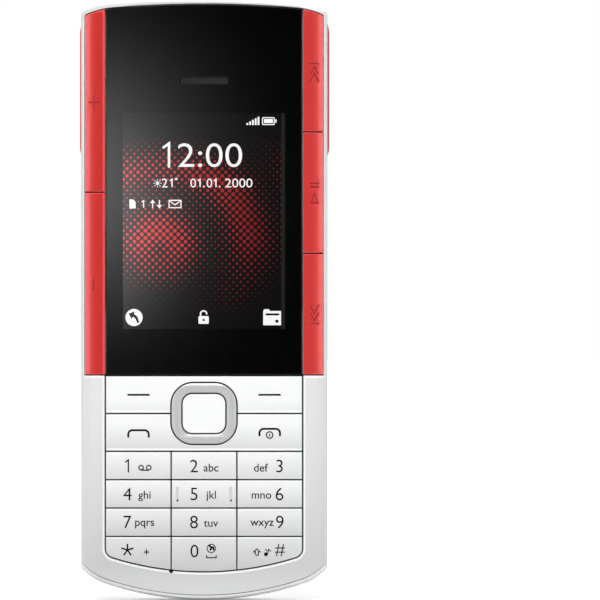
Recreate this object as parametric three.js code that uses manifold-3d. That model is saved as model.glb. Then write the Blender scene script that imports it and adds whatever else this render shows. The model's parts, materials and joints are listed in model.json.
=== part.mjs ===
// Keypad music phone whose rear cap slides down on side rails and uncovers a pair of earbuds.
// The phone stands upright: Z runs along its length, the keypad faces -Y, millimetres throughout.
import * as THREE from "three";
import { mergeVertices } from "three/addons/utils/BufferGeometryUtils.js";
import Module from "manifold-3d";

const wasm = await Module();
wasm.setup();

// Overall outline, seen from the front
const bodyWidth = 54.9;
const bodyLength = 133.4;
const topArchRadius = 250;
const chinArchRadius = 70;
const topCorner = 2.6;
const chinCorner = 3.2;
const leastCorner = 0.6;

// Clearances
const seam = 0.3;
const overrun = 2;
const leastFlat = 0.1;

// Depth stack, from the front face to the top of the arrows on the cap
const pipProud = 0.15;
const keyProud = 0.4;
const windowSink = 0.05;
const windowThickness = 1.25;
const gasketThickness = 0.75;
const deckThickness = 0.9;
const boardGap = 0.6;
const boardThickness = 0.8;
const componentHeight = 1;
const floorThickness = 0.7;
const batteryThickness = 4.7;
const batteryHeadroom = 0.9;
const coverThickness = 1;
const slideGap = 0.5;
const capThickness = 1.1;
const arrowProud = 0.3;

const depthFromFace = windowSink + windowThickness + gasketThickness + deckThickness + boardGap
  + boardThickness + componentHeight + seam + floorThickness + batteryThickness + batteryHeadroom
  + coverThickness + slideGap + capThickness + arrowProud;
const faceY = (keyProud + pipProud - depthFromFace) / 2;
const windowFront = faceY + windowSink;
const windowRear = windowFront + windowThickness;
const deckFront = windowRear + gasketThickness;
const deckRear = deckFront + deckThickness;
const boardFront = deckRear + boardGap;
const boardRear = boardFront + boardThickness;
const frameUnder = boardRear + componentHeight + seam;
const floorTop = frameUnder + floorThickness;
const batteryRear = floorTop + batteryThickness;
const coverInner = batteryRear + batteryHeadroom;
const coverCrown = coverInner + coverThickness;
const capInner = coverCrown + slideGap;
const capCrown = capInner + capThickness;
const keyFace = faceY - keyProud;

// Front housing
const shoulderWidth = 5.6;
const shoulderDepth = 5.15;
const shoulderPower = 3;
const topShoulderShare = 0.16;
const chinShoulderShare = 0.215;
const rimDrop = 2.2;
const beltDrop = 3.2;
const rearShoulderWidth = 4.1;
const rearShoulderDepth = 4.2;
const rearEndShare = 0.62;
const sideWall = 1.2;
const frontWall = 1.15;
const rimY = coverCrown - rimDrop;
const beltRear = rimY - beltDrop;
const beltFront = faceY + shoulderDepth;

// Window, side keys and the strip that they share
const rimWidth = 1;
const topRimWidth = 0.75;
const sideKeyWidth = 4.4;
const sideKeyTravel = 0.3;
const recessHalf = bodyWidth / 2 - rimWidth;
const sideKeyOuter = recessHalf - seam;
const sideKeyInner = sideKeyOuter - sideKeyWidth + seam;
const windowHalf = sideKeyInner - seam;
const sideKeyRear = deckFront - sideKeyTravel - seam / 2;
const nubRadius = 1.1;

// Keypad
const keypadTop = 49.9;
const chinHeight = 6.5;
const functionHeight = 8.4;
const rowPitch = 6.3;
const columnEdge = 7.3;
const keyTravel = 0.35;
const keyBevel = 0.2;
const keyThickness = 1.95;
const footLip = 0.7;
const footThickness = 0.4;
const keyRear = faceY - keyProud + keyThickness + footThickness;
const keypadArchRadius = 68;
const keypadCorner = 2;
const ringWidth = 14.8;
const ringHeight = 14;
const ringCorner = 5;
const selectWidth = 9.9;
const selectHeight = 9.1;
const selectCorner = 2.3;
const carrierThickness = 0.4;
const matThickness = 0.5;
const padHeight = 0.45;
const ringZ = keypadTop - functionHeight;

// Display and earpiece
const displaySideMargin = 2.55;
const displayTopInset = 23.6;
const displayLift = 8.9;
const displayThickness = 1.9;
const displayWidth = (windowHalf - displaySideMargin) * 2;
const displayTop = bodyLength - displayTopInset;
const displayBottom = keypadTop + displayLift;
const displayHeight = displayTop - displayBottom;
const displayZ = (displayTop + displayBottom) / 2;
const earSlotWidth = 11.1;
const earSlotHeight = 1.6;
const earTopInset = 17.9;
const earZ = bodyLength - earTopInset;
const earWidth = 12;
const earHeight = 6;
const earThickness = 1.5;
const earMeshMargin = 0.9;
const meshThickness = 0.35;

// Middle frame, its rails and the battery cover
const flangeInset = 2.25;
const flangeEndInset = 1.45;
const flangeThickness = 0.35;
const frameInset = 2.95;
const frameEndInset = 2.6;
const railWidth = 2.1;
const grooveWidth = 1.65;
const grooveDepth = 1.95;
const railThickness = 0.9;
const undercutWidth = 0.95;
const coverWall = 1;
const coverSag = 0.85;
const coverFlat = 3;
const coverBottom = 3.2;
const coverOverlap = 1;
const coverCorner = 0.8;
const coverTopCorner = 1.5;
const plateauDrop = 1.5;
const ledgeY = rimY + flangeThickness;
const grooveFloor = ledgeY - grooveDepth;
const grooveOuter = bodyWidth / 2 - flangeInset - railWidth;
const grooveInner = grooveOuter - grooveWidth;
const coverHalf = grooveInner - leastFlat;
const plateauY = coverInner - plateauDrop;
const grooveBottom = 7.2;
const capTopInset = 0.7;
const capLength = 36.4;
const capTop = bodyLength - capTopInset;
const capBottom = capTop - capLength;
const coverTop = capBottom + coverOverlap;

// Earbud bay
const bayEndWall = 1.5;
const bayTopInset = 3.9;
const bayWall = 0.9;
const bayCorner = 3;
const bayHalf = coverHalf - bayWall;
const bayUnder = boardRear + seam;
const bayFloor = bayUnder + floorThickness;
const bayBottom = coverTop + bayEndWall;
const bayTop = bodyLength - bayTopInset;

// Slider cap
const capBulge = 0.4;
const capSkirt = 0.7;
const capSkirtDrop = 1;
const capPower = 2.7;
const capTopCorner = 5;
const capBottomCorner = 2.5;
const capBottomRadius = 280;
const capTravel = 33;
const capHalf = bodyWidth / 2 + capBulge;
const capInnerHalf = capHalf - capSkirt;
const capSkirtY = rimY - capSkirtDrop;
const hookStem = 1;
const hookThickness = 0.4;
const hookInset = 4.7;
const hookBottom = capBottom + hookInset;
const hookTop = capTop - hookInset;
const arrowHalf = 3.95;
const arrowRise = 2.5;
const arrowThickness = 1.2;
const arrowPitch = 3.6;
const arrowLift = 8.7;
const arrowZ = capBottom + arrowLift;

const cornerSteps = 4;
const archSteps = 12;
const crownSteps = 12;
const capSteps = 28;

// Points on a circular arc, in the plane of an outline
function arc(centreX, centreZ, radius, from, to, steps) {
  return Array.from({ length: steps + 1 }, (_, i) => {
    const turn = from + ((to - from) * i) / steps;
    return [centreX + radius * Math.cos(turn), centreZ + radius * Math.sin(turn)];
  });
}

// The upper half of an outline: straight side, corner fillet, wide arch, corner fillet
function archHalf(half, top, radius, corner) {
  const archZ = top - radius;
  const cornerX = half - corner;
  const cornerZ = archZ + Math.sqrt((radius - corner) ** 2 - cornerX ** 2);
  const turn = Math.atan2(cornerZ - archZ, cornerX);
  return [
    ...arc(cornerX, cornerZ, corner, 0, turn, cornerSteps),
    ...arc(0, archZ, radius, turn, Math.PI - turn, archSteps).slice(1, -1),
    ...arc(-cornerX, cornerZ, corner, Math.PI - turn, Math.PI, cornerSteps),
  ];
}

function archOutline(half, top, bottom, radii, corners) {
  const upper = archHalf(half, top, radii.top, corners.top);
  const lower = archHalf(half, -bottom, radii.bottom, corners.bottom);
  return [...upper, ...lower.map(([x, z]) => [-x, -z])];
}

// The body outline drawn in by one amount at the sides and others at the two ends
function bodyOutline(side, top, bottom) {
  return archOutline(
    bodyWidth / 2 - side,
    bodyLength - top,
    bottom,
    { top: topArchRadius - top, bottom: chinArchRadius - bottom },
    {
      top: Math.max(topCorner - Math.min(side, top), leastCorner),
      bottom: Math.max(chinCorner - Math.min(side, bottom), leastCorner),
    },
  );
}

function rectangle(left, right, bottom, top) {
  return [[left, bottom], [right, bottom], [right, top], [left, top]];
}

function roundedRectangle(x, z, width, height, corner, steps = cornerSteps) {
  const reachX = width / 2 - corner;
  const reachZ = height / 2 - corner;
  const quarter = Math.PI / 2;
  const places = [[1, 1], [-1, 1], [-1, -1], [1, -1]];
  return places.flatMap(([signX, signZ], i) =>
    arc(x + signX * reachX, z + signZ * reachZ, corner, i * quarter, (i + 1) * quarter, steps));
}

function toSolid(geometry) {
  const bare = geometry.clone();
  bare.deleteAttribute("normal");
  bare.deleteAttribute("uv");
  const merged = mergeVertices(bare);
  return new wasm.Manifold(new wasm.Mesh({
    numProp: 3,
    vertProperties: new Float32Array(merged.attributes.position.array),
    triVerts: new Uint32Array(merged.index.array),
  }));
}

function toGeometry(solid) {
  const mesh = solid.getMesh();
  const geometry = new THREE.BufferGeometry();
  const stride = mesh.numProp;
  const points = new Float32Array(mesh.numVert * 3);
  for (let i = 0; i < mesh.numVert; i += 1) {
    points.set(mesh.vertProperties.subarray(i * stride, i * stride + 3), i * 3);
  }
  geometry.setAttribute("position", new THREE.BufferAttribute(points, 3));
  geometry.setIndex(new THREE.BufferAttribute(new Uint32Array(mesh.triVerts), 1));
  geometry.computeVertexNormals();
  return geometry;
}

const joined = (...solids) => solids.reduce((a, b) => a.add(b));
const cut = (solid, ...tools) => tools.reduce((a, b) => a.subtract(b), solid);
const common = (...solids) => solids.reduce((a, b) => a.intersect(b));

// An outline in X and Z made solid between two depths
function plate(points, front, rear) {
  const shape = new THREE.Shape(points.map(([x, z]) => new THREE.Vector2(x, z)));
  const geometry = new THREE.ExtrudeGeometry(shape, { depth: rear - front, bevelEnabled: false });
  geometry.rotateX(Math.PI / 2);
  geometry.translate(0, rear, 0);
  return toSolid(geometry);
}

// A cross-section in X and Y made solid between two heights
function bar(points, bottom, top) {
  const shape = new THREE.Shape(points.map(([x, y]) => new THREE.Vector2(x, y)));
  const geometry = new THREE.ExtrudeGeometry(shape, { depth: top - bottom, bevelEnabled: false });
  geometry.translate(0, 0, bottom);
  return toSolid(geometry);
}

// A skin through outlines of equal count at rising depths, closed at both ends
function stack(levels) {
  const count = levels[0].points.length;
  const positions = levels.flatMap(({ y, points }) => points.flatMap(([x, z]) => [x, y, z]));
  const faces = [];
  for (let level = 0; level < levels.length - 1; level += 1) {
    for (let i = 0; i < count; i += 1) {
      const here = level * count + i;
      const next = level * count + ((i + 1) % count);
      faces.push(here, here + count, next, next, here + count, next + count);
    }
  }
  const lidOf = (points) =>
    THREE.ShapeUtils.triangulateShape(points.map(([x, z]) => new THREE.Vector2(x, z)), []);
  const last = (levels.length - 1) * count;
  lidOf(levels[0].points).forEach(([a, b, c]) => faces.push(a, b, c));
  lidOf(levels.at(-1).points).forEach(([a, b, c]) => faces.push(last + a, last + c, last + b));
  const geometry = new THREE.BufferGeometry();
  geometry.setAttribute("position", new THREE.Float32BufferAttribute(positions, 3));
  geometry.setIndex(faces);
  return toSolid(geometry);
}

function block(left, right, front, rear, bottom, top) {
  const geometry = new THREE.BoxGeometry(right - left, rear - front, top - bottom);
  geometry.translate((left + right) / 2, (front + rear) / 2, (bottom + top) / 2);
  return toSolid(geometry);
}

function slab(x, z, width, height, front, rear) {
  return block(x - width / 2, x + width / 2, front, rear, z - height / 2, z + height / 2);
}

const roundSides = 20;

// A round pin along the depth of the phone
function pin(x, z, radius, front, rear, sides = roundSides) {
  const geometry = new THREE.CylinderGeometry(radius, radius, rear - front, sides);
  geometry.translate(x, (front + rear) / 2, z);
  return toSolid(geometry);
}

// A round pin along the length of the phone
function post(x, y, radius, bottom, top, sides = roundSides) {
  const geometry = new THREE.CylinderGeometry(radius, radius, top - bottom, sides);
  geometry.rotateX(Math.PI / 2);
  geometry.translate(x, y, (bottom + top) / 2);
  return toSolid(geometry);
}

const phone = new THREE.Group();

function finish(color, roughness, metalness = 0) {
  return { color, roughness, metalness };
}

const finishes = {
  whiteShell: finish("#d9dad9", 0.42),
  whiteKey: finish("#f0f1f1", 0.35),
  redShell: finish("#dc3e39", 0.5),
  redKey: finish("#c93e3b", 0.4),
  blackGlass: finish("#08080a", 0.06),
  blackPlastic: finish("#161618", 0.6),
  silver: finish("#c4c6c6", 0.3, 0.7),
  steel: finish("#a9abae", 0.35, 0.9),
  gold: finish("#d3a84a", 0.3, 0.9),
  silicone: finish("#3a3b3e", 0.8),
  board: finish("#1d5a3a", 0.6),
  foam: finish("#202022", 0.95),
  battery: finish("#303338", 0.55),
  amberLens: finish("#efe3b4", 0.15),
};

function addPiece(name, solid, { color, roughness, metalness }) {
  const material = new THREE.MeshStandardMaterial({ color, roughness, metalness });
  const mesh = new THREE.Mesh(toGeometry(solid), material);
  mesh.name = name;
  phone.add(mesh);
}

const sides = [["left", -1], ["right", 1]];

// Front housing: one moulded shell with a squared shoulder, a recessed deck and four screw bosses
const frontSteps = 6;
const rearSteps = 4;

function shoulderLevels() {
  const levels = [];
  for (let i = 0; i <= frontSteps; i += 1) {
    const turn = (Math.PI / 2) * (1 - i / frontSteps);
    const rise = Math.sin(turn) ** (2 / shoulderPower);
    const inset = shoulderWidth * (1 - Math.cos(turn) ** (2 / shoulderPower));
    levels.push({
      y: beltFront - shoulderDepth * rise,
      points: bodyOutline(inset, inset * topShoulderShare, inset * chinShoulderShare),
    });
  }
  const rimTurn = Math.asin((rimY - beltRear) / rearShoulderDepth);
  for (let i = 0; i <= rearSteps; i += 1) {
    const turn = (rimTurn * i) / rearSteps;
    const inset = rearShoulderWidth * (1 - Math.cos(turn));
    levels.push({
      y: beltRear + rearShoulderDepth * Math.sin(turn),
      points: bodyOutline(inset, inset * rearEndShare, inset * rearEndShare),
    });
  }
  return levels;
}

const outerBody = stack(shoulderLevels());
const rimInset = rearShoulderWidth * (1 - Math.sqrt(1 - ((rimY - beltRear) / rearShoulderDepth) ** 2));

function housingCavity() {
  const rimSide = rimInset + sideWall;
  const rimEnd = rimInset * rearEndShare + sideWall;
  return stack([
    { y: deckRear, points: bodyOutline(sideWall, sideWall, sideWall) },
    { y: beltRear, points: bodyOutline(sideWall, sideWall, sideWall) },
    { y: rimY, points: bodyOutline(rimSide, rimEnd, rimEnd) },
    { y: rimY + overrun, points: bodyOutline(rimSide, rimEnd, rimEnd) },
  ]);
}

// The hollow behind the keypad reaches further forward than the deck
function keypadCavity() {
  const wide = sideWall * 2;
  const deep = stack([
    { y: faceY + frontWall, points: bodyOutline(wide, sideWall, wide) },
    { y: deckRear, points: bodyOutline(sideWall, sideWall, sideWall) },
    { y: deckRear + overrun, points: bodyOutline(sideWall, sideWall, sideWall) },
  ]);
  return common(deep, block(-bodyWidth, bodyWidth, faceY, boardFront, -overrun, keypadTop));
}

function keypadOutline(grow) {
  return archOutline(
    windowHalf + grow,
    keypadTop + overrun,
    chinHeight - grow,
    { top: topArchRadius, bottom: keypadArchRadius + grow },
    { top: leastCorner, bottom: keypadCorner + grow },
  );
}

// The keypad opening is straight across its top, where the window begins
function keypadPlate(grow, front, rear) {
  const below = block(-bodyWidth, bodyWidth, front, rear, -overrun, keypadTop);
  return common(plate(keypadOutline(grow), front, rear), below);
}

// A width and height with the clearance added all round
function grown(width, height) {
  return [width + seam * 2, height + seam * 2];
}

const screwHead = 1.1;
const screwHeadHeight = 0.7;
const screwShank = 0.6;
const screwReach = 1.6;
const bossWall = 0.5;
const bossRadius = screwShank + seam + bossWall;
const trayScrewInset = 3;
const trayScrewLift = 4.6;
const bayScrewSpread = 0.95;
const bayScrewRise = 0.617;
const trayScrewX = windowHalf - trayScrewInset;
const trayScrewZ = keypadTop + trayScrewLift;
const bayCornerX = bayHalf - bayCorner;
const bayCornerZ = bayTop - topArchRadius
  + Math.sqrt((topArchRadius - bayCorner) ** 2 - bayCornerX ** 2);
const bayScrewX = bayCornerX + bayScrewSpread;
const bayScrewZ = bayCornerZ + bayScrewRise;
const screws = [
  { name: "screw_lower_left", x: -trayScrewX, z: trayScrewZ, under: frameUnder, seat: floorTop },
  { name: "screw_lower_right", x: trayScrewX, z: trayScrewZ, under: frameUnder, seat: floorTop },
  { name: "screw_upper_left", x: -bayScrewX, z: bayScrewZ, under: bayUnder, seat: bayFloor },
  { name: "screw_upper_right", x: bayScrewX, z: bayScrewZ, under: bayUnder, seat: bayFloor },
];

// Side keys: two on the left for volume, three on the right for the music player
const volumeUpLength = 42.7;
const previousLength = 29.3;
const playLength = 27;
const sideKeyBottom = keypadTop + seam;
const sideKeyTop = bodyLength;
const leftSplit = sideKeyTop - volumeUpLength;
const playTop = sideKeyTop - previousLength;
const playBottom = playTop - playLength;
const sideKeys = [
  { name: "volume_up_key", side: -1, bottom: leftSplit, top: sideKeyTop },
  { name: "volume_down_key", side: -1, bottom: sideKeyBottom, top: leftSplit },
  { name: "previous_key", side: 1, bottom: playTop, top: sideKeyTop },
  { name: "play_key", side: 1, bottom: playBottom, top: playTop },
  { name: "next_key", side: 1, bottom: sideKeyBottom, top: playBottom },
];
const nubX = sideKeyInner + nubRadius + seam / 2;
const nubZ = ({ bottom, top }) => (bottom + Math.min(top, bodyLength - topCorner)) / 2;

// Openings at the two ends: headphone jack above, charging socket below
const jackBore = 1.8;
const jackCollar = 2.6;
const jackWidth = 6;
const jackHeight = 5;
const jackLength = 12.5;
const jackY = boardRear + seam + jackHeight / 2;
const jackEndWall = 0.9;
const jackTop = bodyLength - frameEndInset - jackEndWall - seam;
const collarSink = 0.6;
const collarTop = bodyLength - collarSink;
const usbWidth = 8;
const usbHeight = 2.8;
const usbLength = 6;
const usbBottom = 0.9;
const usbY = boardRear + usbHeight / 2;
const usbCorner = 0.9;

const micRadius = 0.45;

function frontHousing() {
  const recess = common(
    plate(bodyOutline(rimWidth, topRimWidth, rimWidth), faceY - overrun, deckFront),
    block(-bodyWidth, bodyWidth, faceY - overrun, deckFront, keypadTop, bodyLength),
  );
  const deck = [deckFront - overrun, deckRear + overrun];
  const displayHole = slab(0, displayZ, ...grown(displayWidth, displayHeight), ...deck);
  const earHole = slab(0, earZ, ...grown(earWidth, earHeight), ...deck);
  const jackHole = post(0, jackY, jackCollar + seam, jackTop, bodyLength + overrun);
  const usbHole = block(-usbWidth / 2 - seam, usbWidth / 2 + seam,
    boardRear - seam, boardRear + usbHeight + seam, -overrun, usbBottom + usbLength);
  const micHole = pin(-columnEdge, chinHeight, micRadius, faceY - overrun, faceY + frontWall + overrun);
  const nubHoles = sideKeys.map((key) =>
    pin(key.side * nubX, nubZ(key), nubRadius + seam, ...deck));
  const shell = cut(
    outerBody, recess, housingCavity(), keypadCavity(),
    keypadPlate(seam, faceY - overrun, deckRear), displayHole, earHole, jackHole, usbHole, micHole,
    ...nubHoles,
  );
  const bosses = screws.map(({ x, z, under }) => cut(
    pin(x, z, bossRadius, deckRear - deckThickness / 2, under),
    pin(x, z, screwShank + seam, under - screwReach - seam, under + overrun),
  ));
  return joined(shell, ...bosses);
}

addPiece("front_housing", frontHousing(), finishes.whiteShell);

// Display stack: cover window, foam gasket, panel, steel tray, earpiece and its mesh
function windowPlate(shrink, front, rear) {
  const inset = bodyWidth / 2 - windowHalf + shrink;
  const top = topRimWidth + seam + shrink;
  const bottom = keypadTop + seam + shrink;
  return common(
    plate(bodyOutline(inset, top, rimWidth), front, rear),
    block(-bodyWidth, bodyWidth, front, rear, bottom, bodyLength),
  );
}

function earSlot(grow, front, rear) {
  const height = earSlotHeight + grow * 2;
  const corner = height / 2 - leastFlat;
  return plate(roundedRectangle(0, earZ, earSlotWidth + grow * 2, height, corner), front, rear);
}

const windowSolid = cut(
  windowPlate(0, windowFront, windowRear),
  earSlot(0, windowFront - overrun, windowRear + overrun),
);
addPiece("display_window", windowSolid, finishes.blackGlass);

const gasketMargin = 0.35;
const gasketSpan = [windowRear - overrun, deckFront + overrun];
const gasketSolid = cut(
  windowPlate(gasketMargin, windowRear, deckFront),
  slab(0, displayZ, ...grown(displayWidth, displayHeight), ...gasketSpan),
  slab(0, earZ, ...grown(earWidth + earMeshMargin * 2, earHeight), ...gasketSpan),
);
addPiece("window_gasket", gasketSolid, finishes.foam);

const displayRear = windowRear + displayThickness;
addPiece(
  "display_module",
  slab(0, displayZ, displayWidth, displayHeight, windowRear, displayRear),
  finishes.blackPlastic,
);
addPiece(
  "display_tray",
  slab(0, displayZ, displayWidth, displayHeight, displayRear, boardFront),
  finishes.steel,
);
addPiece(
  "earpiece_mesh",
  earSlot(earMeshMargin, windowRear, windowRear + meshThickness),
  finishes.steel,
);
addPiece(
  "earpiece",
  slab(0, earZ, earWidth, earHeight, windowRear + meshThickness, windowRear + meshThickness + earThickness),
  finishes.blackPlastic,
);

// Side keys take their face from the housing's own shoulder, so the two stay flush
function sideKey({ side, bottom, top }) {
  const front = faceY - overrun;
  const field = plate(bodyOutline(rimWidth + seam, topRimWidth + seam, rimWidth), front, sideKeyRear);
  const reach = [side * sideKeyInner, side * bodyWidth].sort((a, b) => a - b);
  const cell = block(...reach, front, sideKeyRear, bottom + seam / 2, top - seam / 2);
  const nub = pin(side * nubX, nubZ({ bottom, top }), nubRadius,
    sideKeyRear - gasketThickness, boardFront - sideKeyTravel - seam);
  return joined(common(outerBody, field, cell), nub);
}

sideKeys.forEach((key) => addPiece(key.name, sideKey(key), finishes.redKey));

// Keypad: caps with a chamfered face and a foot that hides behind the housing's edge
function chamfered(outlineOf, front, rear) {
  return stack([
    { y: front, points: outlineOf(keyBevel) },
    { y: front + keyBevel, points: outlineOf(0) },
    { y: rear, points: outlineOf(0) },
  ]);
}

const footFront = keyRear - footThickness;
const fieldHalf = windowHalf + footLip;

function cellPiece({ left, right, bottom, top }) {
  const cell = chamfered(
    (inset) => rectangle(left + inset, right - inset, bottom + inset, top - inset), keyFace, keyRear);
  const field = chamfered((inset) => keypadOutline(-inset), keyFace, footFront);
  const foot = keypadPlate(footLip, footFront, keyRear);
  return common(cell, joined(field, foot));
}

const ringOutline = (grow) => roundedRectangle(
  0, ringZ, ringWidth + grow * 2, ringHeight + grow * 2, ringCorner + grow);
const selectOutline = (grow) => roundedRectangle(
  0, ringZ, selectWidth + grow * 2, selectHeight + grow * 2, selectCorner + grow);

// The two function plates each carry a key at either end and pass round the navigation ring
function functionRocker(bottom, top) {
  const reach = fieldHalf + overrun;
  const plateSolid = cellPiece({ left: -reach, right: reach, bottom, top });
  return cut(plateSolid, plate(ringOutline(seam), keyFace - overrun, keyRear + overrun));
}

const halfSeam = seam / 2;
const functionBottom = keypadTop - functionHeight * 2;
addPiece("softkey_rocker", functionRocker(ringZ + halfSeam, keypadTop - seam), finishes.whiteKey);
addPiece("call_rocker", functionRocker(functionBottom + halfSeam, ringZ - halfSeam), finishes.whiteKey);

const ringSolid = cut(
  chamfered((inset) => ringOutline(-inset), keyFace, keyRear - carrierThickness),
  plate(selectOutline(seam), keyFace - overrun, keyRear + overrun),
);
addPiece("nav_ring", ringSolid, finishes.silver);

const carrierMargin = 0.9;
const carrierSolid = cut(
  plate(ringOutline(-carrierMargin), keyRear - carrierThickness + seam, keyRear + seam),
  plate(selectOutline(seam), keyFace, keyRear + overrun),
);
addPiece("nav_carrier", carrierSolid, finishes.blackPlastic);
addPiece(
  "select_key",
  chamfered((inset) => selectOutline(-inset), keyFace, keyRear),
  finishes.whiteKey,
);

const digitRows = [
  ["key_1", "key_2", "key_3"],
  ["key_4", "key_5", "key_6"],
  ["key_7", "key_8", "key_9"],
  ["key_star", "key_0", "key_hash"],
];
const columnEdges = [-fieldHalf - overrun, -columnEdge, columnEdge, fieldHalf + overrun];
const pipWidth = 0.5;
const pipHeight = 3.6;
const pipInset = 1.35;
const pipX = columnEdge - pipInset;

function digitKey(row, column) {
  const top = functionBottom - rowPitch * row - halfSeam;
  const lastRow = row === digitRows.length - 1;
  const bottom = lastRow ? 0 : functionBottom - rowPitch * (row + 1) + halfSeam;
  const cap = cellPiece({
    left: columnEdges[column] + halfSeam,
    right: columnEdges[column + 1] - halfSeam,
    bottom,
    top,
  });
  if (digitRows[row][column] !== "key_5") {
    return cap;
  }
  const pips = sides.map(([, sign]) =>
    slab(sign * pipX, (bottom + top) / 2, pipWidth, pipHeight, keyFace - pipProud, keyFace + keyBevel));
  return joined(cap, ...pips);
}

digitRows.forEach((names, row) => names.forEach((name, column) => {
  addPiece(name, digitKey(row, column), finishes.whiteKey);
}));

// Silicone mat on the board, with a raised pad behind every key
const matMargin = 0.6;
const padRadius = 1.6;

function padPlaces() {
  const columns = [-(windowHalf + columnEdge) / 2, 0, (windowHalf + columnEdge) / 2];
  const digits = digitRows.flatMap((_, row) =>
    columns.map((x) => [x, functionBottom - rowPitch * (row + 0.5)]));
  const functions = [ringZ + functionHeight / 2, ringZ - functionHeight / 2].flatMap((z) =>
    [[columns[0], z], [columns[2], z]]);
  return [...digits, ...functions, [0, ringZ]];
}

const matFront = boardFront - matThickness;
const matSolid = joined(
  keypadPlate(-matMargin, matFront, boardFront),
  ...padPlaces().map(([x, z]) =>
    pin(x, z, padRadius, matFront - padHeight, matFront + matThickness / 2, 12)),
);
addPiece("keypad_mat", matSolid, finishes.silicone);

// Main board and what is soldered to it
const boardInset = 3.4;
const boardBottom = 4.5;
const boardTopInset = 5.5;
const boardSolid = cut(
  plate(bodyOutline(boardInset, boardTopInset, boardBottom), boardFront, boardRear),
  ...screws.map(({ x, z }) => pin(x, z, bossRadius + seam, boardFront - overrun, boardRear + overrun)),
);
addPiece("main_board", boardSolid, finishes.board);

const shieldSideGap = 4.75;
const shieldWidth = (trayScrewX - shieldSideGap) * 2;
const shieldHeight = 15;
const shieldLift = 4.6;
const shieldZ = keypadTop + shieldLift + shieldHeight / 2;
addPiece(
  "shield_can",
  slab(0, shieldZ, shieldWidth, shieldHeight, boardRear, boardRear + componentHeight),
  finishes.steel,
);

const batterySideMargin = 4.85;
const batteryWidth = (coverHalf - batterySideMargin) * 2;
const simSideMargin = 3.5;
const simWidth = batteryWidth - simSideMargin * 2;
const simHeight = 15;
const simThickness = 1.5;
const simDrop = 13.9;
const simZ = keypadTop - simDrop;
const simSlotWidth = 22;
const simSlotDepth = 11;
const simWall = 0.4;
const simSolid = cut(
  slab(0, simZ, simWidth, simHeight, boardRear, boardRear + simThickness),
  slab(0, simZ + simSlotDepth / 2, simSlotWidth, simSlotDepth,
    boardRear + simWall, boardRear + simThickness - simWall),
);
addPiece("sim_holder", simSolid, finishes.steel);

const usbShell = 0.35;
const usbTongue = 0.6;
const usbMouth = usbHeight - usbShell * 2;

function usbSocket() {
  const outline = (inset) => roundedRectangle(
    0, usbY, usbWidth - inset * 2, usbHeight - inset * 2, usbCorner - inset);
  const backWall = usbBottom + usbLength - usbTongue;
  const shell = cut(
    bar(outline(0), usbBottom, usbBottom + usbLength),
    bar(outline(usbShell), usbBottom - overrun, backWall),
  );
  const tongueHalf = usbWidth / 2 - usbShell - usbMouth / 2;
  const tongue = block(-tongueHalf, tongueHalf, usbY - usbTongue / 2, usbY + usbTongue / 2,
    usbBottom + usbTongue, backWall + usbTongue / 2);
  return joined(shell, tongue);
}

addPiece("usb_socket", usbSocket(), finishes.steel);

const jackSolid = cut(
  joined(
    slab(0, jackTop - jackLength / 2, jackWidth, jackLength,
      jackY - jackHeight / 2, jackY + jackHeight / 2),
    post(0, jackY, jackCollar, jackTop - seam, collarTop),
  ),
  post(0, jackY, jackBore, jackTop - jackLength + sideWall, collarTop + overrun),
);
addPiece("audio_jack", jackSolid, finishes.blackPlastic);

// Rear components between the floor of the frame and the battery cover
const cameraDrop = 11.8;
const cameraZ = coverTop - cameraDrop;
const lowerSpeakerHeight = 9;
const lowerSpeakerLift = 10.8;
const lowerGrilleLift = 10.9;
const upperSpeakerHeight = 5.2;
const upperSpeakerDrop = 4.2;
const upperGrilleDrop = 3.2;
const lowerSpeakerZ = coverBottom + lowerSpeakerLift;
const upperSpeakerZ = coverTop - upperSpeakerDrop;
const batteryWall = 1.5;
const batteryDrop = 12.5;
const batteryBottom = lowerSpeakerZ + lowerSpeakerHeight / 2 + batteryWall;
const batteryTop = cameraZ - batteryDrop;
const batteryLength = batteryTop - batteryBottom;
const batteryCorner = 1.5;
const batteryZ = (batteryBottom + batteryTop) / 2;
addPiece(
  "battery",
  plate(roundedRectangle(0, batteryZ, batteryWidth, batteryLength, batteryCorner), floorTop, batteryRear),
  finishes.battery,
);

const contactWidth = 9;
const contactDepth = 2.3;
const contactHeight = 2.6;
const contactPitch = 2.8;
const contactPin = 0.5;
const contactBottom = batteryTop + seam + contactPin;

function batteryContacts() {
  const base = block(-contactWidth / 2, contactWidth / 2, floorTop, floorTop + contactHeight,
    contactBottom, contactBottom + contactDepth);
  const pins = [-1, 0, 1].map((i) =>
    post(i * contactPitch, floorTop + contactHeight / 2, contactPin, contactBottom - contactPin,
      contactBottom + contactPin, 10));
  return joined(base, ...pins);
}

addPiece("battery_contacts", batteryContacts(), finishes.gold);

const speakerWidth = 17;
const speakerThickness = 3;
const speakerCorner = 0.9;
const grilleWidth = 15.6;
const grilleHeight = 1.9;
const meshMargin = 0.8;
const speakerSeat = batteryRear - speakerThickness;
const speakers = [
  {
    place: "lower", z: lowerSpeakerZ, height: lowerSpeakerHeight,
    grilleZ: coverBottom + lowerGrilleLift,
  },
  {
    place: "upper", z: upperSpeakerZ, height: upperSpeakerHeight,
    grilleZ: coverTop - upperGrilleDrop,
  },
];
const slotOutline = (z, grow) => roundedRectangle(
  0, z, grilleWidth + grow * 2, grilleHeight + grow * 2, grilleHeight / 2 + grow - leastFlat / 2);

speakers.forEach(({ place, z, height, grilleZ }) => {
  addPiece(
    `loudspeaker_${place}`,
    plate(roundedRectangle(0, z, speakerWidth, height, speakerCorner), speakerSeat, batteryRear),
    finishes.blackPlastic,
  );
  addPiece(
    `grille_mesh_${place}`,
    plate(slotOutline(grilleZ, meshMargin), batteryRear, batteryRear + meshThickness),
    finishes.foam,
  );
});

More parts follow.
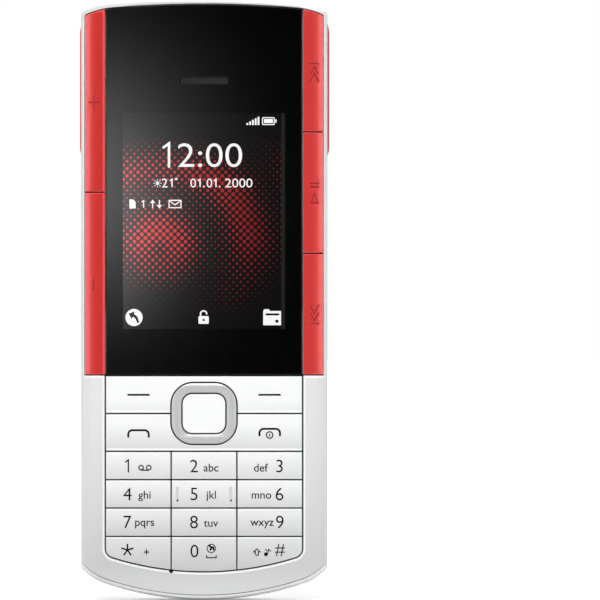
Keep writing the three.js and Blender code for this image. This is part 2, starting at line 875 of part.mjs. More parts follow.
const motorRadius = 2;
const motorLength = 10;
const motorInset = 7.85;
const motorDrop = 2;
const motorX = coverHalf - motorInset;
const motorZ = cameraZ - motorDrop;
const motorY = floorTop + seam + motorRadius;
addPiece(
  "vibration_motor",
  post(motorX, motorY, motorRadius, motorZ - motorLength / 2, motorZ + motorLength / 2),
  finishes.steel,
);

const cameraBody = 8;
const cameraCorner = 1;
const barrelRadius = 2.6;
const cameraWindow = 7.6;
const cameraWindowCorner = 1.8;
const cameraWindowThickness = 0.8;
const bezelProud = 0.15;
const bezelWall = 0.8;
const bezelSeat = 0.5;
const bezelDepth = 0.6;
const cameraFront = frameUnder + seam;
const cameraWindowRear = coverCrown;
const cameraWindowFront = cameraWindowRear - cameraWindowThickness;
const bezelHalf = cameraWindow / 2 + seam + bezelWall;
const bezelFront = cameraWindowFront - bezelDepth;
const squareAt = (half, corner) => roundedRectangle(0, cameraZ, half * 2, half * 2, corner);
const bezelCorner = cameraWindowCorner + seam + bezelWall;

const cameraSolid = joined(
  plate(squareAt(cameraBody / 2, cameraCorner), cameraFront, bezelFront - seam),
  pin(0, cameraZ, barrelRadius, bezelFront - seam - bezelDepth / 2, cameraWindowFront - seam),
);
addPiece("camera_module", cameraSolid, finishes.blackPlastic);
addPiece(
  "camera_window",
  plate(squareAt(cameraWindow / 2, cameraWindowCorner), cameraWindowFront, cameraWindowRear),
  finishes.blackGlass,
);
const bezelSolid = cut(
  plate(squareAt(bezelHalf, bezelCorner), bezelFront, coverCrown + bezelProud),
  plate(squareAt(cameraWindow / 2 + seam, cameraWindowCorner + seam),
    cameraWindowFront - seam, coverCrown + overrun),
  plate(squareAt(cameraWindow / 2 - bezelSeat, cameraWindowCorner), bezelFront - overrun, coverCrown),
);
addPiece("camera_bezel", bezelSolid, finishes.whiteShell);

const flashX = -9.9;
const flashRadius = 1.75;
const flashDepth = 1.3;
const flashSink = 0.2;
addPiece(
  "flash_lens",
  pin(flashX, cameraZ, flashRadius, coverCrown - flashSink - flashDepth, coverCrown - flashSink),
  finishes.amberLens,
);

// Middle frame: floor, battery and speaker pockets, earbud bay, and the two undercut rails
const bayRadii = { top: topArchRadius, bottom: topArchRadius };
const bayOutline = (grow) => archOutline(
  bayHalf + grow, bayTop + grow, bayBottom - grow, bayRadii,
  { top: bayCorner + grow, bottom: bayCorner + grow });
const jackRibHalf = jackWidth / 2 + seam + floorThickness;
const jackRibBottom = jackTop - jackLength - seam - floorThickness;
const jackPocketTop = jackY + jackHeight / 2 + seam;
const ribRear = jackPocketTop + floorThickness;
const coverOutline = (grow) => archOutline(
  coverHalf + grow,
  coverTop + grow,
  coverBottom - grow,
  { top: topArchRadius, bottom: chinArchRadius - coverBottom + grow },
  { top: coverTopCorner, bottom: Math.max(coverCorner + grow, leastCorner) },
);
const undercutBottom = hookBottom - capTravel - seam;
const undercutTop = hookTop + seam;
const grooveTop = hookTop + sideWall;

function railGroove(sign) {
  const span = (near, far) => [sign * near, sign * far].sort((a, b) => a - b);
  const groove = block(...span(grooveInner, grooveOuter), grooveFloor, ledgeY + overrun,
    grooveBottom, grooveTop);
  const undercut = block(...span(grooveOuter - seam, grooveOuter + undercutWidth), grooveFloor,
    ledgeY - railThickness, undercutBottom, undercutTop);
  return joined(groove, undercut);
}

// The flange steps up round the charging socket, with slanted ends
const notchHalf = 6.75;
const notchDepth = 0.65;
const notchSlant = 1.4;
function socketNotch() {
  const outer = flangeEndInset;
  const points = [
    [-notchHalf, outer - notchDepth], [notchHalf, outer - notchDepth], [notchHalf, outer],
    [notchHalf - notchSlant, outer + notchDepth], [notchSlant - notchHalf, outer + notchDepth],
    [-notchHalf, outer],
  ];
  return plate(points, rimY - overrun, ledgeY + overrun);
}

// The crowned section that the battery cover and the rim of the earbud bay share
function crownSection(crown, base) {
  const half = grooveInner + overrun;
  const points = [];
  for (let i = 0; i <= crownSteps; i += 1) {
    const x = half - (half * 2 * i) / crownSteps;
    const out = Math.max(Math.abs(x) - coverFlat, 0) / (grooveInner - coverFlat);
    points.push([x, crown - coverSag * out ** 2]);
  }
  return [...points, [-half, base], [half, base]];
}

function middleFrame() {
  const rear = ledgeY;
  const base = joined(
    plate(bodyOutline(frameInset, frameEndInset, frameEndInset), frameUnder, rear),
    plate(bodyOutline(flangeInset, flangeEndInset, flangeEndInset), rimY, rear),
    common(
      plate(bayOutline(bayWall), bayUnder, coverCrown),
      bar(crownSection(coverCrown, bayUnder - overrun), 0, bodyLength),
    ),
  );
  const coverSeat = plate(coverOutline(seam / 2), grooveFloor, rear + overrun);
  const plateau = plate(coverOutline(-coverWall - seam), grooveFloor - seam, plateauY);
  const up = coverCrown + overrun;
  const pocket = (x, z, width, height, floor) => slab(x, z, ...grown(width, height), floor, up);
  const bayRib = block(-jackRibHalf, jackRibHalf, bayUnder, ribRear, jackRibBottom, bodyLength);
  const bay = cut(plate(bayOutline(0), bayFloor, up), bayRib);
  const contactTop = contactBottom + contactDepth;
  const batteryBay = slab(0, (batteryBottom + contactTop) / 2,
    ...grown(batteryWidth, contactTop - batteryBottom), floorTop, up);
  const screwHoles = screws.map(({ x, z, seat }) => joined(
    pin(x, z, screwShank + seam, bayUnder - overrun, up),
    pin(x, z, screwHead + seam, seat, up),
  ));
  const jackPocket = block(-jackWidth / 2 - seam, jackWidth / 2 + seam, bayUnder - overrun,
    jackPocketTop, jackTop - jackLength - seam, jackTop + seam);
  const jackHole = post(0, jackY, jackCollar + seam, jackTop - seam, bodyLength);
  const usbPocket = slab(0, 0, usbWidth + seam * 2, (usbBottom + usbLength + seam) * 2,
    frameUnder - overrun, boardRear + usbHeight + seam);
  return cut(
    joined(cut(base, coverSeat), plateau),
    ...sides.map(([, sign]) => railGroove(sign)),
    bay, batteryBay,
    ...speakers.map(({ z, height }) => pocket(0, z, speakerWidth, height, speakerSeat)),
    pocket(0, cameraZ, cameraBody, cameraBody, frameUnder - overrun),
    pocket(motorX, motorZ, motorRadius * 2, motorLength, floorTop),
    slab(0, simZ, ...grown(simWidth, simHeight), frameUnder - overrun, floorTop + overrun),
    ...screwHoles, jackPocket, jackHole, usbPocket, socketNotch(),
  );
}

addPiece("middle_frame", middleFrame(), finishes.redShell);

// Battery cover: a crowned plate with a skirt that drops into the frame
function batteryCover() {
  const low = grooveFloor + seam;
  const outer = common(
    plate(coverOutline(0), low, coverCrown + overrun),
    bar(crownSection(coverCrown, low), 0, bodyLength),
  );
  const inner = common(
    plate(coverOutline(-coverWall), low - overrun, coverCrown),
    bar(crownSection(coverInner, low - overrun), 0, bodyLength),
  );
  const through = [low, coverCrown + overrun];
  return cut(
    outer, inner,
    ...speakers.map(({ grilleZ }) => plate(slotOutline(grilleZ, 0), ...through)),
    plate(squareAt(bezelHalf + seam, bezelCorner + seam), ...through),
    pin(flashX, cameraZ, flashRadius + seam, ...through),
  );
}

addPiece("battery_cover", batteryCover(), finishes.whiteShell);

// Earbuds: a pebble-shaped shell with an angled nozzle, and a silicone tip over the nozzle
const budSideGap = 1.15;
const budRibGap = 1.1;
const budTopGap = 4;
const budHeight = 18.4;
const budOuter = bayHalf - budSideGap;
const budInner = jackRibHalf + budRibGap;
const budWidth = budOuter - budInner;
const budX = (budOuter + budInner) / 2;
const budZ = bayTop - budTopGap - budHeight / 2;
const budDepth = 5.8;
const budLift = 0.6;
const budSteps = 6;
const budSides = 24;
const budEndTurn = 0.35;
const budPower = 0.6;
const nozzleTurn = 0.47;
const nozzleRadius = 1.7;
const nozzleLength = 4;
const nozzleSides = 16;
const tipRadius = 2.7;
const tipLength = 5.5;
const tipRimShare = 0.4;
const tipBore = nozzleRadius + seam;
const cradleWall = 0.8;
const cradleDepth = 3.4;
const cradleFloor = bayFloor + cradleWall;
const cradleRear = bayFloor + cradleDepth;
const budFront = cradleFloor + budLift;
const budMiddle = budFront + budDepth / 2;
const nozzleStart = 1 / Math.hypot(
  Math.sin(nozzleTurn) / (budWidth / 2), Math.cos(nozzleTurn) / (budHeight / 2));
const tipStart = nozzleStart + seam * 2;

function budOutline(sign, share, grow = 0) {
  return Array.from({ length: budSides }, (_, i) => {
    const turn = (Math.PI * 2 * i) / budSides;
    return [
      sign * budX + ((budWidth / 2) * share + grow) * Math.cos(turn),
      budZ + ((budHeight / 2) * share + grow) * Math.sin(turn),
    ];
  });
}

// A round piece drawn along +Y from the middle of the bud, laid along the nozzle
function onNozzle(geometry, sign) {
  geometry.rotateX(-Math.PI / 2);
  geometry.rotateY(sign * nozzleTurn);
  geometry.translate(sign * budX, budMiddle, budZ);
  return toSolid(geometry);
}

function earbud(sign) {
  const levels = Array.from({ length: budSteps + 1 }, (_, i) => {
    const turn = budEndTurn + ((Math.PI - budEndTurn * 2) * i) / budSteps;
    const reach = (budDepth / 2) * (Math.cos(turn) / Math.cos(budEndTurn));
    return { y: budMiddle - reach, points: budOutline(sign, Math.sin(turn) ** budPower) };
  });
  const rooted = nozzleLength + nozzleRadius;
  const nozzle = new THREE.CylinderGeometry(nozzleRadius, nozzleRadius, rooted, nozzleSides);
  nozzle.translate(0, nozzleStart + nozzleLength - rooted / 2, 0);
  return joined(stack(levels), onNozzle(nozzle, sign));
}

function earbudTip(sign) {
  const rim = tipBore + (tipRadius - tipBore) * tipRimShare;
  const profile = [
    [tipBore, 0], [rim, 0], [tipRadius, tipLength / 4], [tipRadius, tipLength / 2],
    [rim, tipLength], [tipBore, tipLength], [tipBore, 0],
  ].map(([radius, along]) => new THREE.Vector2(radius, tipStart + along));
  return onNozzle(new THREE.LatheGeometry(profile, nozzleSides), sign);
}

// Two gold contacts under each bud
const padWidth = 5;
const padDepth = 2.4;
const padThickness = 0.2;
const contactRise = 0.3;
const contactSpread = 1.3;
const contactRadius = 0.55;

function chargingPins(sign) {
  const base = slab(sign * budX, budZ, padWidth, padDepth, cradleFloor, cradleFloor + padThickness);
  const pins = sides.map(([, step]) => pin(sign * budX + step * contactSpread, budZ, contactRadius,
    cradleFloor, cradleFloor + contactRise, 12));
  return joined(base, ...pins);
}

// The pocket that a tip lies in, seen from the rear, runs along the nozzle
function tipPocket(sign) {
  const half = tipRadius + seam * 2;
  const end = tipStart + tipLength + seam * 2;
  const [sine, cosine] = [Math.sin(nozzleTurn), Math.cos(nozzleTurn)];
  const corners = [[-half, 0], [half, 0], [half, end], [-half, end]];
  const points = corners.map(([across, along]) => [
    sign * (budX - along * sine + across * cosine),
    budZ - along * cosine - across * sine,
  ]);
  return plate(sign > 0 ? points.reverse() : points, cradleFloor, cradleRear + overrun);
}

function earbudCradle() {
  const rib = block(-jackRibHalf - seam, jackRibHalf + seam, bayFloor - overrun, cradleRear + overrun,
    jackRibBottom - seam, bayTop + overrun);
  const pockets = sides.flatMap(([, sign]) => [
    plate(budOutline(sign, 1, seam * 1.5), cradleFloor, cradleRear + overrun),
    tipPocket(sign),
  ]);
  const screwWells = screws.slice(2).map(({ x, z }) =>
    pin(x, z, screwHead + seam, bayFloor - overrun, cradleRear + overrun));
  return cut(plate(bayOutline(-seam), bayFloor, cradleRear), rib, ...pockets, ...screwWells);
}

addPiece("earbud_cradle", earbudCradle(), finishes.blackPlastic);
sides.forEach(([place, sign]) => {
  addPiece(`charging_pins_${place}`, chargingPins(sign), finishes.gold);
  addPiece(`earbud_${place}`, earbud(sign), finishes.whiteShell);
  addPiece(`earbud_tip_${place}`, earbudTip(sign), finishes.silicone);
});

// Slider cap: a crowned cap that wraps the sides, with hooks in the rails and raised arrows
function crownPoint(half, base, crown, turn) {
  const across = Math.sign(Math.cos(turn)) * Math.abs(Math.cos(turn)) ** (2 / capPower);
  return [half * across, base + (crown - base) * Math.abs(Math.sin(turn)) ** (2 / capPower)];
}

function crownCurve(half, base, crown) {
  return Array.from({ length: capSteps + 1 }, (_, i) =>
    crownPoint(half, base, crown, (Math.PI * i) / capSteps));
}

function capOutline() {
  return archOutline(
    capHalf,
    capTop,
    capBottom,
    { top: topArchRadius, bottom: capBottomRadius },
    { top: capTopCorner, bottom: capBottomCorner },
  );
}

function arrowOutline(z) {
  const slope = arrowRise / arrowHalf;
  const low = [[-arrowHalf, z + arrowRise], [0, z], [arrowHalf, z + arrowRise]];
  const lift = arrowThickness * Math.hypot(1, slope);
  return [...low, ...low.map(([x, height]) => [x, height + lift]).reverse()];
}

function guideHook(sign) {
  const stemNear = grooveInner + seam;
  const stemFar = stemNear + hookStem;
  const tip = grooveFloor + seam;
  const share = (stemNear + stemFar) / 2 / capInnerHalf;
  const root = capSkirtY + (capInner - capSkirtY) * (1 - share ** capPower) ** (1 / capPower) + seam;
  const lipFar = grooveOuter + undercutWidth - seam;
  const points = [
    [stemNear, tip], [lipFar, tip], [lipFar, tip + hookThickness], [stemFar, tip + hookThickness],
    [stemFar, root], [stemNear, root],
  ].map(([x, y]) => [sign * x, y]);
  return bar(sign > 0 ? points : points.reverse(), hookBottom, hookTop);
}

function sliderCap() {
  const outer = crownCurve(capHalf, capSkirtY, capCrown);
  const inner = crownCurve(capInnerHalf, capSkirtY, capInner);
  const field = plate(capOutline(), capSkirtY - overrun, capCrown + overrun);
  const shell = common(bar([...outer, ...inner.reverse()], 0, bodyLength), field);
  const above = crownCurve(capHalf, capSkirtY, capCrown + arrowProud);
  const below = crownCurve(capHalf, capSkirtY, capCrown - arrowProud);
  const lifted = bar([...above, ...below.reverse()], 0, bodyLength);
  const arrows = [0, 1].map((i) => common(
    lifted, plate(arrowOutline(arrowZ - i * arrowPitch), capSkirtY, capCrown + overrun)));
  return joined(shell, ...arrows, ...sides.map(([, sign]) => guideHook(sign)));
}

addPiece("slider_cap", sliderCap(), finishes.redShell);

screws.forEach(({ name, x, z, under, seat }) => {
  const shank = pin(x, z, screwShank, under - screwReach, seat + screwHeadHeight / 2, 12);
  addPiece(name, joined(shank, pin(x, z, screwHead, seat, seat + screwHeadHeight, 16)), finishes.steel);
});

export default phone;
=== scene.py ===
"""Looks of the slider phone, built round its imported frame. Lengths are millimetres until a mesh is made."""

import json
import math
from functools import partialmethod

import bmesh
import bpy
import numpy as np
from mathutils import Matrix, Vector, geometry
from mathutils.bvhtree import BVHTree


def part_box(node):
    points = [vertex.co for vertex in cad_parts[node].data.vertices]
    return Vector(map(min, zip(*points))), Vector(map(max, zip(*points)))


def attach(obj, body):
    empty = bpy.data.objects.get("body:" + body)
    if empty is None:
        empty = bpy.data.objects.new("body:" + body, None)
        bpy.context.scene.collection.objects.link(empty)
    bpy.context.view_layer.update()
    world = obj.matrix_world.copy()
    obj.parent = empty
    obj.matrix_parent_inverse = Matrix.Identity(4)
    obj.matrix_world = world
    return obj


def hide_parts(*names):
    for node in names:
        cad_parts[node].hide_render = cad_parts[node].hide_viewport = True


MM = 0.001
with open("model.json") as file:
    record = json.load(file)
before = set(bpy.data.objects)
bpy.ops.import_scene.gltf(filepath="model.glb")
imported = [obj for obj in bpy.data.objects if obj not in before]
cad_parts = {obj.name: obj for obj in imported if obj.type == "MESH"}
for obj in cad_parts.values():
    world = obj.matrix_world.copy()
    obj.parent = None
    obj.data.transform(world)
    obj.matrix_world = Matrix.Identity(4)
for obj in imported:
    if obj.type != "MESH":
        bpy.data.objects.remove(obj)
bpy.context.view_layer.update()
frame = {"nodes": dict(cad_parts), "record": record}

# ---------------------------------------------------------------- sizes: X across, Y from front to rear, Z up

BODY_WIDTH, BODY_LENGTH = 54.9, 133.39
WIDE, HIGH = 60, 200  # further out than any piece
TOP_RADIUS, CHIN_RADIUS = 250, 70
CHIN_CORNER, LEAST_CORNER = 1.7, 0.6
CREST_REACH, CREST_FALL, CREST_CORNER, LEAST_CREST = 6.5, 0.0246, 1.25, 0.35
CHIN_REACH, CHIN_FALL = 4.95, 0.058
SEAM, KEY_SEAM, FINE_SEAM = 0.3, 0.34, 0.2
HALF_SEAM = KEY_SEAM / 2
FACE_Y, KEY_FACE, KEY_REAR = -7.15, -7.55, -5.2
WINDOW_FRONT, WINDOW_REAR, WINDOW_HALF = -7.10, -5.85, 21.75
DECK_FRONT, DECK_REAR = -5.10, -4.20
SHOULDER_WIDTH, SHOULDER_DEPTH, SHOULDER_POWER = 5.6, 5.15, 3
TOP_SHARE, CHIN_SHARE = 0.16, 0.215
BELT_FRONT, BELT_REAR, RIM_Y = -2.0, 0.4, 3.6
REAR_WIDTH, REAR_DEPTH, REAR_SHARE = 4.1, 4.2, 0.62
SIDE_WALL, RIM_WIDTH, TOP_RIM = 1.2, 0.8, 0.75
CHIN_LINE, LINE_REACH, LINE_TURN, LINE_BEND, LINE_HALF, LINE_DEPTH = 1.1, 27.25, 21.5, 0.04, 0.11, 0.21
# Where the painted shade line along the chin starts and ends, and where the rim's painted shade line runs.
SHADE_LINE_START, SHADE_LINE_END, RIDGE, RIDGE_HALF = 1.08, 1.25, 0.5, 0.07
LIP, SHELF_HEIGHT, SHELF_HALF = 0.18, 0.45, 26.6
JACK_RADIUS, JACK_BOTTOM, MIC_RADIUS, MIC_REAR = 2.9, 129.6, 0.5, -5.4
PLUG_HALF, PLUG_FRONT, PLUG_REAR, PLUG_DEPTH = 4.3, -3.1, 0.3, 6.9
SIDE_KEY_INNER, SIDE_KEY_REAR, SIDE_GAP = 22.05, -5.55, 0.16
ICON_DEPTH, SHADE_PLATE_DEPTH, SHADE_PLATE_REAR = 0.32, 0.16, 0.3
KEYPAD_TOP, CHIN_HEIGHT, KEYPAD_RADIUS, KEYPAD_CORNER = 49.9, 6.5, 68, 2
SOFT_TOP = KEYPAD_TOP - 0.12
RING_Z, FUNCTION_BOTTOM, ROW_PITCH, COLUMN_EDGE = 41.5, 33.1, 6.3, 7.3
RING_WIDTH, RING_HEIGHT, RING_SEAM, RING_CROWN, RING_REAR = 14.4, 13.5, 0.31, 0.16, -5.6
SELECT_WIDTH, SELECT_HEIGHT = 9.45, 8.65
KEY_EDGE, KEY_CROWN, LAST_ROW_BOTTOM = 0.15, 0.09, 2.6
BAR_X, BAR_Z, BAR_FACE = 5.95, 23.6, KEY_FACE - 0.11
EAR_Z, RIB_PITCH = 115.5, 0.7
COVER_CROWN, COVER_SAG, COVER_FLAT, COVER_THICK = 5.8, 0.85, 3, 1.4
GROOVE_INNER, COVER_HALF, COVER_TOP, COVER_BOTTOM = 21.45, 21.35, 97.3, 3.2
GRILLES = {"lower": 14.1, "upper": 94.1}
CAMERA_Z, FLASH_X, LENS_RADIUS, LENS_Y, LENS_RISE = 85.5, -9.9, 1.4, 5.02, 0.42
CAP_HALF, CAP_INNER_HALF = 27.85, 27.15
CAP_BASE, CAP_CROWN, CAP_INNER, CAP_POWER = 2.6, 7.4, 6.3, 2.7
CAP_TOP, CAP_BOTTOM, CAP_TOP_CORNER, CAP_LOW_RADIUS, CAP_LOW_CORNER = 132.7, 96.3, 5, 280, 2.5
BUD_X, BUD_Y, BUD_Z = 12.2, 2.5, 116.3
BUD_WIDTH, BUD_DEPTH, BUD_HEIGHT, NOZZLE_TURN = 14.2, 5.8, 18.4, 0.47
PX = 4.5  # the photograph's pixels to a millimetre
PX_X, PX_Z = 204, 600.3  # the pixel of the origin

# ---------------------------------------------------------------- outlines in X and Z


def arc(cx, cz, radius, start, end, steps):
    turns = [start + (end - start) * i / steps for i in range(steps + 1)]
    return [(cx + radius * math.cos(t), cz + radius * math.sin(t)) for t in turns]


def arch_turn(half, top, radius, corner):
    """Heights of the middles of an arch and its corners, and the direction in which the two meet."""
    arch_z = top - radius
    cz = arch_z + math.sqrt((radius - corner) ** 2 - (half - corner) ** 2)
    return arch_z, cz, math.atan2(cz - arch_z, half - corner)


def arch_half(half, top, radius, corner):
    """Right side, corner, wide arch, corner, left side: the upper half of an outline."""
    arch_z, cz, turn = arch_turn(half, top, radius, corner)
    right = arc(half - corner, cz, corner, 0, turn, 8)
    arch = arc(0, arch_z, radius, turn, math.pi - turn, 48)[1:-1]
    left = arc(corner - half, cz, corner, math.pi - turn, math.pi, 8)
    return right + arch + left


def arch_outline(half, top, bottom, radii, corners):
    upper = arch_half(half, top, radii[0], corners[0])
    lower = arch_half(half, -bottom, radii[1], corners[1])
    return upper + [(-x, -z) for x, z in lower]


def crest_half(half, top, radius, corner, reach, fall_off, steps=60):
    """The upper half of an outline whose arch falls away towards its corners."""

    def drop(x):
        past = max(abs(x) - (half - reach), 0)
        slope = abs(x) / math.sqrt(radius**2 - x**2) + 2 * fall_off * past
        return radius - math.sqrt(radius**2 - x**2) + fall_off * past**2, slope

    low, high = half - corner, half
    for _ in range(60):
        x = (low + high) / 2
        slope = drop(x)[1]
        low, high = (x, high) if x - corner * slope / math.hypot(slope, 1) < half - corner else (low, x)
    fall, slope = drop(x)
    turn = math.atan2(1, slope)
    cz = top - fall - corner * math.sin(turn)
    right = arc(half - corner, cz, corner, 0, turn, 8)
    spots = [x * (1 - 2 * k / steps) for k in range(1, steps)]
    left = arc(corner - half, cz, corner, math.pi - turn, math.pi, 8)
    return right + [(s, top - drop(s)[0]) for s in spots] + left


def body_outline(side, top, bottom, chin_fall=CHIN_FALL):
    """The phone's outline, moved in by so much at its sides, top and bottom."""
    half = BODY_WIDTH / 2 - side
    top_corner = max(CREST_CORNER - min(side, top), LEAST_CREST)
    chin_corner = max(CHIN_CORNER - min(side, bottom), LEAST_CORNER)
    upper = crest_half(half, BODY_LENGTH - top, TOP_RADIUS - top, top_corner, CREST_REACH, CREST_FALL)
    lower = crest_half(half, -bottom, CHIN_RADIUS - bottom, chin_corner, CHIN_REACH, chin_fall)
    return upper + [(-x, -z) for x, z in lower]


def rounded(x, z, width, height, corner, steps=8):
    reach_x, reach_z, quarter = width / 2 - corner, height / 2 - corner, math.pi / 2
    loop = []
    for i, (sx, sz) in enumerate([(1, 1), (-1, 1), (-1, -1), (1, -1)]):
        loop += arc(x + sx * reach_x, z + sz * reach_z, corner, i * quarter, (i + 1) * quarter, steps)
    return loop


def circle(x, z, radius, steps=48):
    return arc(x, z, radius, 0, 2 * math.pi, steps)[:-1]


def clipped(loop, left, right, bottom, top):
    """The part of an outline that lies in a rectangle."""
    for axis, limit, sign in [(0, left, 1), (0, right, -1), (1, bottom, 1), (1, top, -1)]:
        kept = []
        for i, here in enumerate(loop):
            before = loop[i - 1]
            a, b = (before[axis] - limit) * sign, (here[axis] - limit) * sign
            if (a < 0) != (b < 0):
                share = a / (a - b)
                kept.append(tuple(before[k] + (here[k] - before[k]) * share for k in (0, 1)))
            if b >= 0:
                kept.append(here)
        loop = kept
    return tidy(loop)


def tidy(loop, least=1e-4):
    """The loop without doubled points."""
    return [p for i, p in enumerate(loop) if math.dist(p, loop[i - 1]) > least]


def dense(loop, step):
    """The loop with points added wherever two are further apart than the step."""
    points = []
    for i, (x, z) in enumerate(loop):
        nx, nz = loop[(i + 1) % len(loop)]
        count = max(1, math.ceil(math.dist((x, z), (nx, nz)) / step))
        points += [(x + (nx - x) * k / count, z + (nz - z) * k / count) for k in range(count)]
    return points


def shrunk(loop, amount):
    """The loop moved to its left, which is into the material, with mitred corners."""
    moved = []
    for i, (x, z) in enumerate(loop):
        (ax, az), (bx, bz) = loop[i - 1], loop[(i + 1) % len(loop)]
        before, after = math.hypot(x - ax, z - az), math.hypot(bx - x, bz - z)
        ux, uz, vx, vz = (x - ax) / before, (z - az) / before, (bx - x) / after, (bz - z) / after
        nx, nz = -(uz + vz), ux + vx
        reach = 2 * amount / max(nx * nx + nz * nz, 0.6)
        moved.append((x + nx * reach, z + nz * reach))
    return moved


def stroke(path, half, steps=6):
    """The outline of a line of even width with round ends."""
    units = []
    for (ax, az), (bx, bz) in zip(path, path[1:]):
        length = math.hypot(bx - ax, bz - az)
        units.append(((az - bz) / length, (bx - ax) / length) if length > 0 else None)
    normals = []
    for i in range(len(path)):
        near = [unit for unit in units[max(i - 1, 0):i + 1] if unit]
        nx, nz = sum(unit[0] for unit in near), sum(unit[1] for unit in near)
        reach = len(near) / max(nx * nx + nz * nz, 0.3)
        normals.append((nx * reach, nz * reach))
    left = [(p[0] + n[0] * half, p[1] + n[1] * half) for p, n in zip(path, normals)]
    right = [(p[0] - n[0] * half, p[1] - n[1] * half) for p, n in zip(path, normals)]
    caps = []
    for (x, z), turn in ((path[-1], math.atan2(normals[-1][1], normals[-1][0])),
                         (path[0], math.atan2(-normals[0][1], -normals[0][0]))):
        caps.append(arc(x, z, half, turn, turn - math.pi, steps)[1:-1])
    return tidy((left + caps[0] + right[::-1] + caps[1])[::-1])


def inside(points, loop):
    """Which points lie in an outline."""
    points = np.asarray(points, float).reshape(-1, 2)
    hit = np.zeros(len(points), bool)
    for i, (x, z) in enumerate(loop):
        ax, az = loop[i - 1]
        if az != z:
            reach = ax + (points[:, 1] - az) * (x - ax) / (z - az)
            hit ^= ((az > points[:, 1]) != (z > points[:, 1])) & (points[:, 0] < reach)
    return hit


def within(points, loops):
    """Which points lie in the first outline and in none of the others, which are its holes."""
    keep = inside(points, loops[0])
    for hole in loops[1:]:
        keep &= ~inside(points, hole)
    return keep


def laid(loop, y):
    return [(x, y, z) for x, z in loop]


def flat(y):
    return lambda x, z: y


# ---------------------------------------------------------------- meshes


class Skin:
    """Points and faces of one piece while it is built."""

    def __init__(self):
        self.points = []
        self.faces = []

    def ring(self, points):
        start = len(self.points)
        self.points += points
        return list(range(start, len(self.points)))

    def band(self, a, b, closed=True):
        for i in range(len(a) if closed else len(a) - 1):
            j = (i + 1) % len(a)
            self.faces.append((a[i], a[j], b[j], b[i]))

    def fill(self, rings, loops, place, spacing=None):
        """Triangles over an outline with holes; spacing adds points where the surface curves."""
        flat_points = [p for loop in loops for p in loop]
        known = [i for ring in rings for i in ring]
        edges, start = [], 0
        for loop in loops:
            edges += [(start + i, start + (i + 1) % len(loop)) for i in range(len(loop))]
            start += len(loop)
        if spacing:
            low, high = np.min(loops[0], 0), np.max(loops[0], 0)
            xs = np.arange(low[0] + spacing[0] / 2, high[0], spacing[0])
            zs = np.arange(low[1] + spacing[1] / 2, high[1], spacing[1])
            grid = np.array([(x, z) for x in xs for z in zs]).reshape(-1, 2)
            room = 0.35 * min(spacing)
            flat_points += [tuple(p) for p in grid[within(grid, [shrunk(loop, room) for loop in loops])]]
        vectors = [Vector(p) for p in flat_points]
        points, _, faces, origins, *_ = geometry.delaunay_2d_cdt(vectors, edges, [], 0, 1e-7)
        middles = np.array([[sum(points[i][k] for i in face) / 3 for k in (0, 1)] for face in faces])
        keep = within(middles, loops)
        index = []
        for point, came in zip(points, origins):
            old = [i for i in came if i < len(known)]
            index.append(known[old[0]] if old else self.ring([place(*point)])[0])
        self.faces += [tuple(index[i] for i in face) for face, kept in zip(faces, keep) if kept]

    def plate(self, outer, surface, rear, holes=(), edge=0.15, spacing=None, toward=1, bands=3):
        """A plate that follows a surface, with rounded edges, holes and pockets.

        surface and rear give Y from X and Z. A hole is (outline, depth or None, edge).
        """
        def on(face, drop=0.0):
            return lambda x, z: (x, face(x, z) + toward * drop, z)

        tops, through = [], []
        for loop, depth, rim in [(outer, None, edge)] + [(hole[::-1], deep, rim) for hole, deep, rim in holes]:
            previous = None
            for k in range(bands + 1):
                turn = math.pi / 2 * k / bands
                moved, place = shrunk(loop, rim * (1 - math.sin(turn))), on(surface, rim * (1 - math.cos(turn)))
                ring = self.ring([place(*p) for p in moved])
                if previous:
                    self.band(previous, ring)
                else:
                    tops.append((ring, moved))
                previous = ring
            place = on(rear) if depth is None else on(surface, depth)
            last = self.ring([place(*p) for p in loop])
            if depth is None:
                through.append((last, loop))
            else:
                self.fill([last[::-1]], [loop[::-1]], place)
            self.band(previous, last)
        self.fill(*zip(*tops), on(surface), spacing)
        self.fill(*zip(*through), on(rear))
        return self

    def loft(self, rings):
        """A closed solid through rings that each lie at one Y."""
        made = [self.ring(points) for points in rings]
        for a, b in zip(made, made[1:]):
            self.band(a, b)
        for ring in (made[0], made[-1]):
            y = self.points[ring[0]][1]
            self.fill([ring], [[(self.points[i][0], self.points[i][2]) for i in ring]],
                      lambda x, z, y=y: (x, y, z))
        return self

    def bar(self, section, bottom, top):
        """A straight bar along Z; the section is in X and Y."""
        rings = [self.ring([(x, y, z) for x, y in section]) for z in (bottom, top)]
        self.band(*rings)
        self.faces += [tuple(ring) for ring in rings]
        return self

    def lathe(self, x, z, profile, steps=48):
        """A round piece about an axis along Y; the profile is (radius, y) from axis to axis."""
        rings = [self.ring(laid(circle(x, z, radius, steps) if radius else [(x, z)], y)) for radius, y in profile]
        for a, b in zip(rings, rings[1:]):
            if len(a) == 1 or len(b) == 1:
                tip, around = (a[0], b) if len(a) == 1 else (b[0], a)
                self.faces += [(tip, around[i], around[(i + 1) % steps]) for i in range(steps)]
            else:
                self.band(a, b)
        return self


def placed(name, data):
    made = bpy.data.objects.new(name, data)
    bpy.context.scene.collection.objects.link(made)
    return made


def evaluated_mesh(made):
    """The mesh of an object as it stands, after which the object goes."""
    bpy.context.view_layer.update()
    result = bpy.data.meshes.new_from_object(made.evaluated_get(bpy.context.evaluated_depsgraph_get()))
    bpy.data.objects.remove(made)
    return result


def through_modifiers(mesh, *steps):
    """The mesh after modifiers; a step is (kind, settings)."""
    made = placed(mesh.name, mesh)
    for kind, settings in steps:
        step = made.modifiers.new(kind.lower(), kind)
        for key, value in settings.items():
            setattr(step, key, value)
    return evaluated_mesh(made)


